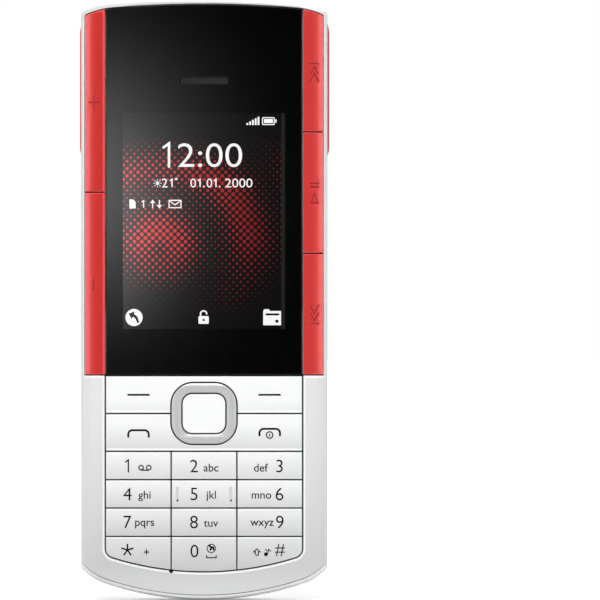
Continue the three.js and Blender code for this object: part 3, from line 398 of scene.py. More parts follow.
def finished_mesh(mesh, smooth):
    bm = bmesh.new()
    bm.from_mesh(mesh)
    bmesh.ops.remove_doubles(bm, verts=bm.verts, dist=1e-8)
    bmesh.ops.dissolve_degenerate(bm, edges=bm.edges, dist=1e-8)
    bmesh.ops.recalc_face_normals(bm, faces=bm.faces)
    bm.to_mesh(mesh)
    bm.free()
    mesh.shade_smooth()
    mesh.set_sharp_from_angle(angle=math.radians(smooth))


def weighted(mesh):
    """Large faces keep their flat shading and small edge bands carry the turn."""
    return through_modifiers(mesh, ("WEIGHTED_NORMAL", {"keep_sharp": True, "weight": 50}))


def mesh_of(name, skin, smooth=35):
    mesh = bpy.data.meshes.new(name)
    mesh.from_pydata([(x * MM, y * MM, z * MM) for x, y, z in skin.points], [], skin.faces)
    finished_mesh(mesh, smooth)
    return weighted(mesh)


def merged(name, meshes):
    bm = bmesh.new()
    for mesh in meshes:
        bm.from_mesh(mesh)
    result = bpy.data.meshes.new(name)
    bm.to_mesh(result)
    bm.free()
    finished_mesh(result, 30)
    return result


def piece(name, skin, material, slot, body="root", nodes=(), smooth=35):
    mesh = skin if isinstance(skin, bpy.types.Mesh) else mesh_of(name, skin, smooth)
    mesh.materials.clear()
    mesh.materials.append(material)
    made = placed(name, mesh)
    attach(made, body)
    if nodes:
        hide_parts(*nodes)


# ---------------------------------------------------------------- materials


class Value:
    """The output of a shader node, which takes plain arithmetic."""

    def __init__(self, look, socket):
        self.look, self.socket = look, socket

    def to(self, operation, *others):
        return self.look.math(operation, self, *others)

    def __rsub__(self, other):
        return self.look.math("SUBTRACT", other, self)

    __add__ = partialmethod(to, "ADD")
    __sub__ = partialmethod(to, "SUBTRACT")
    __mul__ = partialmethod(to, "MULTIPLY")
    __truediv__ = partialmethod(to, "DIVIDE")
    __abs__ = partialmethod(to, "ABSOLUTE")
    __lt__ = partialmethod(to, "LESS_THAN")
    __gt__ = partialmethod(to, "GREATER_THAN")


class Look:
    """Strings together the shader nodes of a new material or of the world."""

    def __init__(self, name, block=None):
        self.material = block or bpy.data.materials.new(name)
        self.material.use_nodes = True
        self.tree = self.material.node_tree
        self.shader = next(n for n in self.tree.nodes if n.type in ("BSDF_PRINCIPLED", "BACKGROUND"))
        self.where = self.made("TexCoord", "Object")

    def made(self, kind, output, values=None, **settings):
        """The output of a new node with these inputs and settings."""
        node = self.tree.nodes.new(f"ShaderNode{kind}")
        for key, value in settings.items():
            setattr(node, key, value)
        for key, value in (values or {}).items():
            self.feed(value, node.inputs[key])
        return Value(self, node.outputs[output])

    def feed(self, value, target):
        """Puts a colour, a vector, a number or the output of a node into an input."""
        if isinstance(value, Value):
            self.tree.links.new(value.socket, target)
        elif isinstance(value, tuple):
            target.default_value = (*value, 1)[:len(target.default_value)]
        else:
            target.default_value = value

    def put(self, **values):
        """Fills inputs of the shader, whose names have _ for a space here."""
        for key, value in values.items():
            self.feed(value, self.shader.inputs[key.replace("_", " ")])

    def math(self, operation, *inputs):
        return self.made("Math", 0, dict(enumerate(inputs)), operation=operation)

    def noise(self, scale, detail=3, stretch=None):
        where = self.made("Mapping", 0, {"Vector": self.where, "Scale": stretch}) if stretch else self.where
        return self.made("TexNoise", "Fac", {"Vector": where, "Scale": scale, "Detail": detail})

    def ramp(self, fac, stops):
        made = self.made("ValToRGB", "Color", {"Fac": fac})
        elements = made.socket.node.color_ramp.elements
        while len(elements) < len(stops):
            elements.new(0.5)
        for element, (place, color) in zip(elements, stops):
            element.position = place
            element.color = (*color, 1)
        return made

    def spread(self, fac, low, high, start=0.3, end=0.7):
        return self.made("MapRange", "Result", {
            "Value": fac, "From Min": start, "From Max": end, "To Min": low, "To Max": high})

    def bump(self, height, strength, distance):
        self.put(Normal=self.made("Bump", "Normal", {"Height": height, "Strength": strength, "Distance": distance}))

    def blend(self, fac, a, b, kind="MIX"):
        """Two colours mixed; the node's inputs 6 and 7 and its output 2 are the ones for colours."""
        return self.made("Mix", 2, {0: fac, 6: a, 7: b}, data_type="RGBA", blend_type=kind)

    def axis(self, name):
        return self.made("SeparateXYZ", name, {"Vector": self.where})

    def normal(self, name):
        return self.made("SeparateXYZ", name, {"Vector": self.made("NewGeometry", "Normal")})

    def distance(self, x=0.0, z=0.0):
        """How far a place is from an axis along Y."""
        dx, dz = self.axis("X") - x, self.axis("Z") - z
        return (dx * dx + dz * dz).to("SQRT")

    def profile(self, value, stops):
        """A colour by a length; the stops are (millimetres, colour)."""
        low, high = stops[0][0], stops[-1][0]
        places = [((place - low) / (high - low), color) for place, color in stops]
        return self.ramp(self.spread(value, 0, 1, low * MM, high * MM), places)

    def paint(self, color):
        self.put(Base_Color=color)
        self.color = color

    def cloudy(self, color, vary):
        """Faint clouds over a colour."""
        cloud = self.ramp(self.noise(60, 4), [(0.3, (1 - 2 * vary,) * 3), (0.7, (1, 1, 1))])
        self.paint(self.blend(1.0, color, cloud, "MULTIPLY"))

    def paint_turn_shading(self, color, start, end, back=(1, 2)):
        """Painted highlight or painted shade: another colour where the surface turns away from the front and the
        rear, up to where it looks sideways."""
        turned = 1.0 - abs(self.normal("Y"))
        share = self.spread(turned, 0, 1, start, end) * self.spread(turned, 1, 0, *back)
        self.paint(self.blend(share, self.color, color))

    def finish(self, rough, grain=9000, depth=0.000004):
        """Uneven gloss and fine grain, which end a material."""
        self.put(Roughness=self.spread(self.noise(400, 5), rough - 0.05, rough + 0.05))
        self.bump(self.noise(grain, 2), 0.25, depth)
        return self.material

    def shown(self, surface):
        """Ends a material that shows another surface than its first shader."""
        self.feed(surface, self.tree.nodes["Material Output"].inputs["Surface"])
        return self.material


def linear(*channels):
    """An sRGB colour, 0 to 255, as the linear values that shaders take."""
    shares = [c / 255 for c in channels]
    return tuple(c / 12.92 if c <= 0.04045 else ((c + 0.055) / 1.055) ** 2.4 for c in shares)


# What the lamps give a surface that faces the front, and the sheen they add to it.
LIGHT, SHEEN = 0.93, 0.04
WINDOW_GLOSS = 0.3
# The white of painted highlights.
HIGHLIGHT_WHITE = (0.97,) * 3


def toned(*channels):
    """The base colour that reads as this sRGB colour under the lamps."""
    return tuple(max((c - SHEEN) / LIGHT, 0.002) for c in linear(*channels))


def greys(*stops):
    return [(place, toned(tone, tone + 1, tone + 1)) for place, tone in stops]


def moulded(name, color, rough=0.4, grain=9000, depth=0.000004, vary=0.03, along=None, rim=None, **extra):
    """Moulded plastic: fine spark-eroded grain, faint cloudiness and uneven gloss.

    color is one colour, or stops along an axis or outwards from a place (X, Z); rim is what paint_turn_shading
    takes, for a painted highlight or painted shade where the surface turns.
    """
    look = Look(name)
    if along:
        color = look.profile(look.axis(along) if isinstance(along, str) else look.distance(*along), color)
    look.cloudy(color, vary)
    if rim:
        look.paint_turn_shading(*rim)
    look.put(**extra)
    return look.finish(rough, grain, depth)


def metal(name, color, rough=0.3, stretch=(1, 1, 40), grain=900):
    """Brushed or stamped metal with streaks along one axis."""
    look = Look(name)
    streak = look.noise(grain, 4, stretch)
    look.paint(look.ramp(streak, [(place, tuple(c * share for c in color)) for place, share in (
        (0.3, 0.92), (0.7, 1.06))]))
    look.put(Metallic=1, Roughness=look.spread(streak, rough - 0.06, rough + 0.08))
    look.bump(streak, 0.15, 0.000004)
    return look.material


def beyond_opening(look):
    """How far a place lies outside the keypad's opening, whose sides and arch meet in round corners."""
    side_room, arch_room = (WINDOW_HALF - KEYPAD_CORNER) * MM, (KEYPAD_RADIUS - KEYPAD_CORNER) * MM
    lean = side_room / arch_room
    side = abs(look.axis("X")) - side_room
    arch = look.distance(0, (CHIN_HEIGHT + KEYPAD_RADIUS) * MM) - arch_room
    a, b = side.to("MAXIMUM", arch * lean), arch.to("MAXIMUM", side * lean)
    square = (a * a + b * b - a * b * (2 * lean)) / (1 - lean**2)
    return square.to("SQRT") - (KEYPAD_CORNER + KEY_SEAM) * MM


def shell_white():
    """The front shell with painted light and shade: paler above than at the chin and darker on its top end, a
    painted shade line along the chin's groove with a painted highlight on the rim beyond it, a lighter rear part,
    painted shade where its sides turn away, and a painted highlight round the keypad and under the window."""
    look = Look("shell_white")
    x, y, z = look.axis("X"), look.axis("Y"), look.axis("Z")
    # Painted light and shade: paler towards the top and darker on the top end.
    field = look.profile(z, greys((1.5, 222), (5, 215), (8, 206), (14, 210), (22, 217), (31, 221), (40, 225),
                                  (131.6, 225), (132.5, 206)))
    past = (abs(x) - LINE_TURN * MM).to("MAXIMUM", 0.0)
    reach = CHIN_RADIUS * MM - (look.distance(0, CHIN_RADIUS * MM) + past * past * (LINE_BEND / MM))
    front = look.spread(y, 1, 0, -3.6 * MM, -2.4 * MM)
    # Painted shade: a grey line along the chin's groove; below it the rim gets a painted highlight.
    field = look.blend((reach < SHADE_LINE_END * MM) * front, field, toned(142, 145, 148))
    # Painted light: the shell's rear part is painted lighter.
    field = look.blend(y > 0.5 * MM, field, toned(243, 244, 244))
    # Painted shade line where the rim's fine ridge runs.
    ridge_shade = (abs(reach - RIDGE * MM) < RIDGE_HALF * MM) * front
    white = look.blend(ridge_shade, HIGHLIGHT_WHITE, toned(222, 224, 225))
    look.cloudy(look.blend((reach < SHADE_LINE_START * MM) * front, field, white), 0.006)
    # Painted shade where the sides turn away.
    look.paint_turn_shading(toned(212, 213, 214), 0.4, 0.85)
    # Painted highlights: a bright band round the keypad's opening and one under the window.
    lip = look.spread(beyond_opening(look), 1, 0, 0.4 * MM, 0.55 * MM) * (y < -6.9 * MM)
    shelf_highlight = (z > (KEYPAD_TOP - SHELF_HEIGHT) * MM) * (abs(x) < SHELF_HALF * MM)
    edge = lip.to("MAXIMUM", shelf_highlight) * (z < (KEYPAD_TOP + 0.1) * MM)
    look.paint(look.blend(edge, look.color, HIGHLIGHT_WHITE))
    return look.finish(0.4)


def cap_red():
    """The sliding cap: painted highlights towards its side edges and on its top bevel, painted shade under its lower
    edge.
    """
    look = Look("cap_red")
    look.cloudy(toned(218, 66, 61), 0.01)
    # Painted highlight where the cap turns towards its sides.
    look.paint_turn_shading(toned(238, 90, 86), 0.01, 0.09, back=(0.2, 0.5))
    # Painted highlight on faces that look up, painted shade on faces that look down.
    rise = look.normal("Z")
    for sign, color in ((1, toned(238, 92, 88)), (-1, toned(160, 40, 36))):
        look.paint(look.blend(look.spread(rise, 0, 1, sign * 0.15, sign * 0.6), look.color, color))
    return look.finish(0.44)


def lens_glass():
    """Coated lens: dark, blue towards its middle, with one small painted glint beside the middle."""
    look = Look("lens_coating")
    rings = look.profile(look.distance(0, CAMERA_Z * MM), [
        (0, linear(24, 60, 120)), (0.45, linear(14, 44, 84)), (0.8, linear(8, 14, 30)), (1.4, linear(10, 12, 16))])
    # Painted highlight: a small pale glint beside the lens's middle.
    glint = look.profile(look.distance(-0.22 * MM, (CAMERA_Z + 0.18) * MM), [
        (0, linear(235, 250, 255)), (0.14, linear(120, 200, 240)), (0.3, (0, 0, 0))])
    look.paint(look.blend(1.0, rings, glint, "ADD"))
    look.put(Roughness=0.03, Coat_Weight=0.5, Coat_Roughness=0.02, Specular_IOR_Level=WINDOW_GLOSS)
    look.bump(look.noise(200, 1), 0.02, 0.00001)
    return look.material


def black_glass():
    look = Look("black_glass")
    look.paint(look.ramp(look.noise(40, 3), [(0.3, (0.0012,) * 3), (0.7, (0.0018,) * 3)]))
    look.bump(look.noise(35, 2), 0.02, 0.00002)
    look.put(Roughness=look.spread(look.noise(300, 5), 0.02, 0.045), IOR=1.5, Specular_IOR_Level=WINDOW_GLOSS)
    return look.material


def woven(name, color, pitch, hole, rough=0.7):
    """A perforated or woven sheet: rows of round holes, each row shifted by half a pitch."""
    look = Look(name)
    up = look.axis("Z") / (pitch * 0.866 * MM)
    odd = abs(up.to("FLOOR")).to("MODULO", 2)
    u = (look.axis("X") / (pitch * MM) + odd * 0.5).to("FRACT") - 0.5
    v = up.to("FRACT") - 0.5
    solid = look.spread((u * u + v * v).to("SQRT"), 0, 1, hole, hole + 0.12)
    look.paint(look.ramp(solid, [(0, (0.002,) * 3), (1, color)]))
    look.bump(solid, 0.6, 0.00005)
    look.put(Roughness=rough)
    return look.material


def display_white():
    """Lit figures of the display seen through the window's gloss."""
    look = Look("display_white")
    grid = look.ramp(look.noise(2500, 1), [(0.3, (0.97,) * 3), (0.7, (1, 1, 1))])
    look.put(Emission_Color=grid, Emission_Strength=0.95, Base_Color=(0.01,) * 3, Roughness=0.03, IOR=1.5)
    return look.material


DOT_PITCH, RIPPLE, RIPPLE_X, RIPPLE_Z, PICTURE_RIGHT = 1.15, 2.6, -10, 78, 17.15


def picture():
    """The display's picture: a straight lattice of round dots that swell in rings and fade downwards, under a
    painted sheen towards its left.
    """
    look = Look("display_picture")
    x, z = look.axis("X"), look.axis("Z")
    cells = [value / (DOT_PITCH * MM * math.sqrt(2)) for value in (x + z, x - z)]
    u, v = [(cell + 100).to("FRACT") - 0.5 for cell in cells]
    ripple = (look.distance(RIPPLE_X * MM, RIPPLE_Z * MM) / (RIPPLE * MM)).to("SINE")
    fade = look.spread(z, 0, 1, 0.060, 0.080) * look.spread(z, 1, 0, 0.094, 0.106)
    dot = (u * u + v * v).to("SQRT") < look.spread(ripple, 0.13, 0.39, -1, 1) * fade
    bright = dot * (look.spread(x, 1, 0.22, -0.012, 0.012) * look.spread(fade, 0.2, 1, 0, 1))
    color = look.ramp(bright, [(0, linear(8, 8, 9)), (1, linear(226, 42, 50))])
    color = look.blend(x > PICTURE_RIGHT * MM, color, linear(30, 30, 31))
    # Painted reflection: a faint sheen that glows over the left of the picture.
    side = look.spread(x, 1, 0, -0.0185, 0.002)
    rise = look.spread(z, 1, 0.1, 0.088, 0.107).to("MINIMUM", look.spread(z, 0.45, 1, 0.0615, 0.072))
    painted_sheen = look.ramp(side * side * rise, [(0, (0, 0, 0)), (1, (0.054,) * 3)])
    look.put(Emission_Color=look.blend(1.0, color, painted_sheen, "ADD"), Emission_Strength=1, Base_Color=(0.002,) * 3,
             Roughness=0.03, IOR=1.5, Specular_IOR_Level=WINDOW_GLOSS)
    return look.material


# Tones at heights, widths, depths and radii in millimetres. Each row of keys has painted shade falling off
# towards its lower edge and a painted highlight along its upper edge.
KEY_SHADING = greys(
    (6.5, 203), (13.65, 228), (13.85, 249), (14.0, 249), (14.1, 208), (19.95, 239), (20.15, 250), (20.4, 250),
    (20.5, 215), (26.3, 246), (26.5, 251), (26.7, 251), (26.8, 221), (33, 248), (33.2, 252), (33.7, 252),
    (33.8, 222), (37, 238), (39.2, 247), (41.4, 249), (41.6, 253), (42.2, 253), (42.3, 239), (44.5, 248), (50, 249))
# The left side keys have a painted highlight on their inner edge and are painted a shade darker than the right ones;
# the frame has painted shade down in its grooves.
SIDE_LEFT, SIDE_RIGHT, SIDE_HIGHLIGHT = toned(201, 63, 61), toned(205, 68, 66), toned(246, 86, 84)
SIDE_SHADING = [(-22.6, SIDE_LEFT), (-22.45, SIDE_HIGHLIGHT), (-22, SIDE_HIGHLIGHT), (-21.9, SIDE_RIGHT), (27, SIDE_RIGHT)]
# Painted shade: the frame's red is darker down in its grooves.
FRAME_GROOVE_SHADE = [(2.2, toned(208, 44, 40)), (3.4, toned(222, 78, 74))]
FLASH_TONES = [(0, linear(255, 250, 205)), (0.8, linear(248, 236, 150)), (1.6, linear(214, 190, 112))]
BARREL_TONES = [(r, linear(t, t, t + 3)) for r, t in (
    (0, 14), (1.4, 18), (1.5, 46), (2.2, 58), (2.3, 104), (2.48, 96), (2.55, 30), (2.7, 22))]

SLOT_LOOKS = {
    "shell_white": shell_white(),
    # Painted light: the cover is paler towards the top, with painted shade where it turns away.
    "cover_white": moulded("cover_white", greys((0, 230), (50, 236), (100, 243)), 0.36, vary=0.006, along="Z",
                           rim=(toned(206, 207, 208), 0.3, 0.8)),
    # Painted highlight where the keys' edges turn, besides the painted shading along their rows.
    "key_white": moulded("key_white", KEY_SHADING, 0.34, 12000, 0.000003, 0.004, "Z", (toned(252, 253, 253), 0.04, 0.2)),
    "cap_red": cap_red(),
    "frame_red": moulded("frame_red", FRAME_GROOVE_SHADE, 0.42, vary=0.01, along="Y"),
    # Painted highlight where the side keys turn outwards.
    "side_key_red": moulded("side_red", SIDE_SHADING, 0.36, vary=0.01, along="X", rim=(toned(252, 114, 112), 0.01, 0.25)),
    "window_black": black_glass(),
    "ring_silver": metal("ring_silver", linear(207, 208, 208), rough=0.36, stretch=(1, 1, 1), grain=5000),
    "black_plastic": moulded("plastic_black", linear(30, 30, 32), rough=0.5, grain=7000),
    "foam_black": moulded("foam_black", linear(22, 22, 23), rough=0.95, grain=3000, depth=0.00002),
    "steel": metal("steel", linear(172, 174, 176)),
    "gold": metal("gold", linear(214, 172, 92), rough=0.25),
    "silicone": moulded("silicone", linear(40, 40, 43), rough=0.7, grain=5000),
    "board_green": moulded("board_green", linear(32, 96, 62), rough=0.45),
    "battery_wrap": moulded("battery_wrap", linear(52, 55, 60), rough=0.5),
    "earbud_white": moulded("earbud_white", linear(236, 236, 234), rough=0.2, Coat_Weight=0.4),
    "lens_amber": moulded("flash_yellow", FLASH_TONES, 0.16, 3000, 0.000006, 0.02, (FLASH_X * MM, CAMERA_Z * MM),
                          Coat_Weight=0.6),
}
grille = woven("grille_mesh", linear(74, 70, 70), pitch=0.55, hole=0.29)
earpiece_weave = woven("earpiece_weave", linear(29, 27, 27), pitch=0.5, hole=0.26, rough=0.45)
# Painted shade: a darker red for plates down in the side keys' sunk icons.
pocket_shade_red = moulded("pocket_shade_red", toned(160, 46, 44), rough=0.5)
ink = moulded("legend_ink", linear(8, 8, 9), rough=0.8, Specular_IOR_Level=0.08)
lens_rings = moulded("lens_barrel", BARREL_TONES, 0.4, 7000, 0.000003, 0.02, (0, CAMERA_Z * MM))

for entry in frame["record"]["subparts"]:
    data = frame["nodes"][entry["node"]].data
    data.materials.clear()
    data.materials.append(SLOT_LOOKS[entry["material_slot"]])
for name, look in (("grille_mesh_lower", grille), ("grille_mesh_upper", grille), ("earpiece_mesh", earpiece_weave)):
    frame["nodes"][name].data.materials[0] = look


def slot_piece(name, skin, slot, **settings):
    """A piece in the plain look of its slot."""
    piece(name, skin, SLOT_LOOKS[slot], slot, **settings)


# ---------------------------------------------------------------- front shell


def shoulder_rings(front_steps=28, rear_steps=12):
    """Outlines of the body from its front face over its belt to the rear rim."""
    rings = []
    for i in range(front_steps + 1):
        turn = math.pi / 2 * (1 - i / front_steps)
        rise = math.sin(turn) ** (2 / SHOULDER_POWER)
        inset = SHOULDER_WIDTH * (1 - math.cos(turn) ** (2 / SHOULDER_POWER))
        loop = body_outline(inset, inset * TOP_SHARE, inset * CHIN_SHARE)
        rings.append(laid(loop, BELT_FRONT - SHOULDER_DEPTH * rise))
    rim_turn = math.asin((RIM_Y - BELT_REAR) / REAR_DEPTH)
    for i in range(rear_steps + 1):
        turn = rim_turn * i / rear_steps
        inset = REAR_WIDTH * (1 - math.cos(turn))
        loop = body_outline(inset, inset * REAR_SHARE, inset * REAR_SHARE, CHIN_FALL * (1 - 0.35 * inset))
        rings.append(laid(loop, BELT_REAR + REAR_DEPTH * math.sin(turn)))
    return rings


body_skin = Skin().loft(shoulder_rings())
body_tree = BVHTree.FromPolygons([Vector(p) for p in body_skin.points], body_skin.faces)


def from_front(x, z):
    return body_tree.ray_cast(Vector((x, -50, z)), Vector((0, 1, 0)))


def shoulder(x, z):
    """Y of the body's front surface."""
    hit = from_front(x, z)
    return hit[0].y if hit[0] else BELT_FRONT


def groove(path, half_width, depth, lift=0.3, run_out=7):
    """A cutter that runs along the body's front surface and runs out at both ends."""
    skin = Skin()
    rings = []
    for i, (x, z) in enumerate(path):
        sink = depth * min(1, min(i, len(path) - 1 - i) / run_out) - 0.01
        place, normal, *_ = from_front(x, z)
        (ax, az), (bx, bz) = path[max(i - 1, 0)], path[min(i + 1, len(path) - 1)]
        along = Vector((bx - ax, shoulder(bx, bz) - shoulder(ax, az), bz - az)).normalized()
        normal = -normal if normal.y > 0 else normal
        side = along.cross(normal).normalized() * half_width
        corners = [place + side + normal * lift, place - side + normal * lift,
                   place - side - normal * sink, place + side - normal * sink]
        rings.append(skin.ring([tuple(p) for p in corners]))
    for a, b in zip(rings, rings[1:]):
        skin.band(a, b)
    skin.faces += [tuple(rings[0]), tuple(rings[-1])]
    return skin


def chin_line(reach, steps=96):
    """The edge where the front face ends above the chin's rim."""
    xs = [reach * (2 * k / steps - 1) for k in range(steps + 1)]
    return [(x, CHIN_LINE + CHIN_RADIUS - math.sqrt(CHIN_RADIUS**2 - x**2)
             + LINE_BEND * max(abs(x) - LINE_TURN, 0) ** 2) for x in xs]


def prism(loop, front, rear):
    return Skin().loft([laid(loop, front), laid(loop, rear)])


def carve(mesh, tools):
    """Cuts closed tool skins out of a mesh and returns the result."""
    cutters = [placed(f"cutter_{i}", mesh_of(f"cutter_{i}", tool)) for i, tool in enumerate(tools)]
    steps = [("BOOLEAN", {"object": c, "operation": "DIFFERENCE", "solver": "MANIFOLD"}) for c in cutters]
    result = through_modifiers(mesh, *steps)
    for cutter in cutters:
        bpy.data.objects.remove(cutter)
    return result


def keypad_outline(grow):
    return arch_outline(
        WINDOW_HALF + grow, KEYPAD_TOP + 2, CHIN_HEIGHT - grow,
        (TOP_RADIUS, KEYPAD_RADIUS + grow), (LEAST_CORNER, KEYPAD_CORNER + grow),
    )


def front_shell():
    """The body with its recess, keypad opening, cavity, openings of the deck and ends, and chin groove."""
    recess = prism(clipped(body_outline(RIM_WIDTH, TOP_RIM, RIM_WIDTH), -WIDE, WIDE, KEYPAD_TOP, HIGH),
                   FACE_Y - 2, DECK_FRONT)
    opening = clipped(keypad_outline(KEY_SEAM), -WIDE, WIDE, 0, KEYPAD_TOP + 0.5)
    levels = [(FACE_Y - 0.4, LIP * 2)]
    for turn in [math.pi / 2 * k / 3 for k in range(4)]:
        levels.append((FACE_Y + LIP * (1 - math.cos(turn)), LIP * (1 - math.sin(turn))))
    levels.append((DECK_REAR + 0.2, 0))
    flare = Skin().loft([laid(shrunk(opening, -grow), y) for y, grow in levels])
    rim_inset = REAR_WIDTH * (1 - math.sqrt(1 - ((RIM_Y - BELT_REAR) / REAR_DEPTH) ** 2))
    rim_side, rim_end = rim_inset + SIDE_WALL, rim_inset * REAR_SHARE + SIDE_WALL
    inner = body_outline(SIDE_WALL, SIDE_WALL, SIDE_WALL, CHIN_FALL / 2)
    outer = body_outline(rim_side, rim_end, rim_end, CHIN_FALL / 2)
    cavity = Skin().loft([laid(loop, y) for y, loop in (
        (DECK_REAR, inner), (BELT_REAR, inner), (RIM_Y, outer), (RIM_Y + 2, outer))])
    low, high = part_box("display_module")
    module = rounded(0, (low.z + high.z) / 2 / MM, (high.x - low.x) / MM + 0.6, (high.z - low.z) / MM + 0.6, 0.4)
    hole = prism(module, DECK_FRONT - 2, DECK_REAR + 2)
    ear = prism(rounded(0, EAR_Z, 12.6, 6.6, 0.4), DECK_FRONT - 2, DECK_REAR + 2)
    jack = Skin().bar(circle(0, 0, JACK_RADIUS, 40), JACK_BOTTOM, BODY_LENGTH + 2)
    plug = Skin().bar([(-PLUG_HALF, PLUG_FRONT), (PLUG_HALF, PLUG_FRONT), (PLUG_HALF, PLUG_REAR),
                       (-PLUG_HALF, PLUG_REAR)], -2, PLUG_DEPTH)
    mic = Skin().lathe(-COLUMN_EDGE, CHIN_HEIGHT, [(0, FACE_Y - 2), (MIC_RADIUS, FACE_Y - 2),
                                                   (MIC_RADIUS, MIC_REAR), (0, MIC_REAR)], 24)
    line = groove(chin_line(LINE_REACH), LINE_HALF, LINE_DEPTH)
    mesh = carve(mesh_of("front_shell", body_skin), [recess, flare, cavity, hole, ear, jack, plug, mic, line])
    finished_mesh(mesh, 30)
    for face in mesh.polygons:
        face.use_smooth = face.normal.y < 0.99
    return weighted(mesh)


slot_piece("front_shell", front_shell(), "shell_white", nodes=["front_housing"])
slot_piece("microphone_insert", Skin().lathe(-COLUMN_EDGE, CHIN_HEIGHT, [
    (0, -6.95), (0.42, -6.95), (0.45, -6.9), (0.45, -6.2), (0, -6.2)], 24), "foam_black")

# ---------------------------------------------------------------- window and display

window_loop = clipped(body_outline(RIM_WIDTH + FINE_SEAM, TOP_RIM + SEAM, RIM_WIDTH), -WINDOW_HALF, WINDOW_HALF,
                      KEYPAD_TOP + SEAM, HIGH)
window = Skin().plate(window_loop, flat(WINDOW_FRONT), flat(WINDOW_REAR), edge=0.12,
                      holes=[(rounded(0, EAR_Z, 11.1, 1.6, 0.79), None, 0.1)])
slot_piece("window_glass", window, "window_black", nodes=["display_window"], smooth=8)

ribs = Skin()
for k in range(-7, 8):
    ribs.loft([laid(rounded(k * RIB_PITCH, EAR_Z, 0.34, 1.5, 0.12, 3), y) for y in (-6.72, -6.5)])
piece("earpiece_ribs", ribs, moulded("rib_grey", linear(35, 33, 33), rough=0.6), "black_plastic")


def at(px, py):
    """X and Z of a place on the front, from its pixel in the photograph's frame."""
    return (px - PX_X) / PX, (PX_Z - py) / PX


def pixels(*numbers):
    return [at(px, py) for px, py in zip(numbers[::2], numbers[1::2])]


def pen(half, *numbers, steps=6):
    """A drawn line through pixels."""
    return stroke(pixels(*numbers), half, steps)


def decal(shapes, y, sink=0.04, proud=0.012):
    """Thin printed shapes on a flat face; each is an outline or a tuple of an outline and its holes."""
    skin = Skin()
    for shape in shapes:
        outer, *holes = shape if isinstance(shape, tuple) else (shape,)
        skin.plate(outer, flat(y - proud), flat(y + sink), edge=0.004, bands=1,
                   holes=[(hole, None, 0.004) for hole in holes])
    return skin


def text_mesh(words, size, x, z, y, thin=0.0, width=1.0, proud=0.012):
    """Words as a thin solid on a face towards -Y, centred on X and Z by their box."""
    curve = bpy.data.curves.new(words, "FONT")
    curve.body = words
    curve.size = size * MM
    curve.offset = -thin * MM
    curve.extrude = proud * MM
    curve.resolution_u = 6
    mesh = evaluated_mesh(placed(words, curve))
    co = np.array([v.co for v in mesh.vertices])
    middle = (co.min(0) + co.max(0)) / 2
    moved = np.column_stack([
        (co[:, 0] - middle[0]) * width + x * MM,
        y * MM - co[:, 2],
        co[:, 1] - middle[1] + z * MM,
    ])
    mesh.vertices.foreach_set("co", moved.astype(np.float32).ravel())
    return mesh


def bar_px(x0, y0, x1, y1, corner=0.0):
    (left, top), (right, bottom) = at(x0, y0), at(x1, y1)
    return rounded((left + right) / 2, (top + bottom) / 2, right - left, top - bottom, max(corner, 0.03), 4)


def hoop(px, py, radius, half):
    x, z = at(px, py)
    return circle(x, z, radius + half, 28), circle(x, z, radius - half, 28)


def figure_one(px, py, height, half):
    """The figure 1 with its flag."""
    x, z = at(px, py)
    top = z + height / 2 - half
    return stroke([(x - height * 0.19, top - height * 0.16), (x + height * 0.03, top),
                   (x + height * 0.03, z - height / 2 + half)], half, 2)


def sun(px, py):
    x, z = at(px, py)
    rays = [2 * math.pi * k / 8 for k in range(8)]
    spokes = [stroke([(x + r * math.cos(t), z + r * math.sin(t)) for r in (0.66, 0.86)], 0.08, 3) for t in rays]
    return [circle(x, z, 0.4, 20), *spokes]


def padlock(px, py):
    x, z = at(px, py)
    bow = [(x - 0.68, z + 0.62), (x - 0.68, z + 1.0)] + arc(x, z + 1.0, 0.68, math.pi, 0, 12)
    return [(rounded(x, z - 0.35, 2.3, 1.7, 0.25), circle(x, z - 0.35, 0.26, 20)), stroke(bow, 0.16)]


screen = decal([bar_px(123, 113, 285, 329)], WINDOW_FRONT, proud=0.01)
piece("display_picture", screen, picture(), "window_black")

# Signal bars, battery, card, 1, arrows up and down, envelope, dial, wallet, sun, ones of the figures, padlock.
icons = [bar_px(246.4 + 2.8 * i, 125 - 2 - 1.55 * i, 248.2 + 2.8 * i, 125) for i in range(5)]
icons += [
    (bar_px(262, 117.2, 274.8, 125, 0.3), bar_px(263, 118.2, 273.8, 124, 0.15)),
    bar_px(264, 119.2, 272.9, 123, 0.1),
    bar_px(275.3, 119.4, 276.5, 122.8, 0.1),
    pixels(129.4, 208.4, 129.4, 199.4, 133.2, 199.4, 135.6, 202, 135.6, 208.4),
    figure_one(143.4, 204, 1.75, 0.13),
    pen(0.13, 152.6, 207.6, 152.6, 202.4, steps=3),
    pixels(149.9, 203, 155.3, 203, 152.6, 199.6),
    pen(0.13, 159.4, 200.4, 159.4, 205.6, steps=3),
    pixels(162.1, 205, 156.7, 205, 159.4, 208.4),
    (bar_px(168.5, 199.8, 181.5, 208.2, 0.15),
     tidy(pixels(170.4, 200.9, 179.6, 200.9, 175, 204.2)),
     tidy(pixels(169.6, 201.6, 169.6, 207.1, 180.4, 207.1, 180.4, 201.6, 175, 205.5))),
    (circle(*at(134, 317.5), 8.6 / PX),
     pixels(128.6, 313.6, 134.6, 311.4, 134, 313.9, 137.4, 316.6, 139.4, 322.8, 137.3, 323,
            135.4, 318.6, 132.9, 316.7, 131.6, 319)),
    (pixels(263.2, 325.2, 263.2, 311, 264.4, 309.2, 269, 309.2, 270, 311, 281, 311, 281, 325.2),
     bar_px(265.6, 313.4, 279.4, 315.4, 0.2), circle(*at(276.9, 321.2), 0.36, 20)),
    *sun(157.5, 183.2),
    *[figure_one(*one) for one in ((171.8, 183, 1.95, 0.14), (199.8, 183, 1.95, 0.14),
                                   (215.7, 183, 1.95, 0.14), (168.2, 155.2, 5.75, 0.27))],
    *padlock(203.6, 318.4),
]
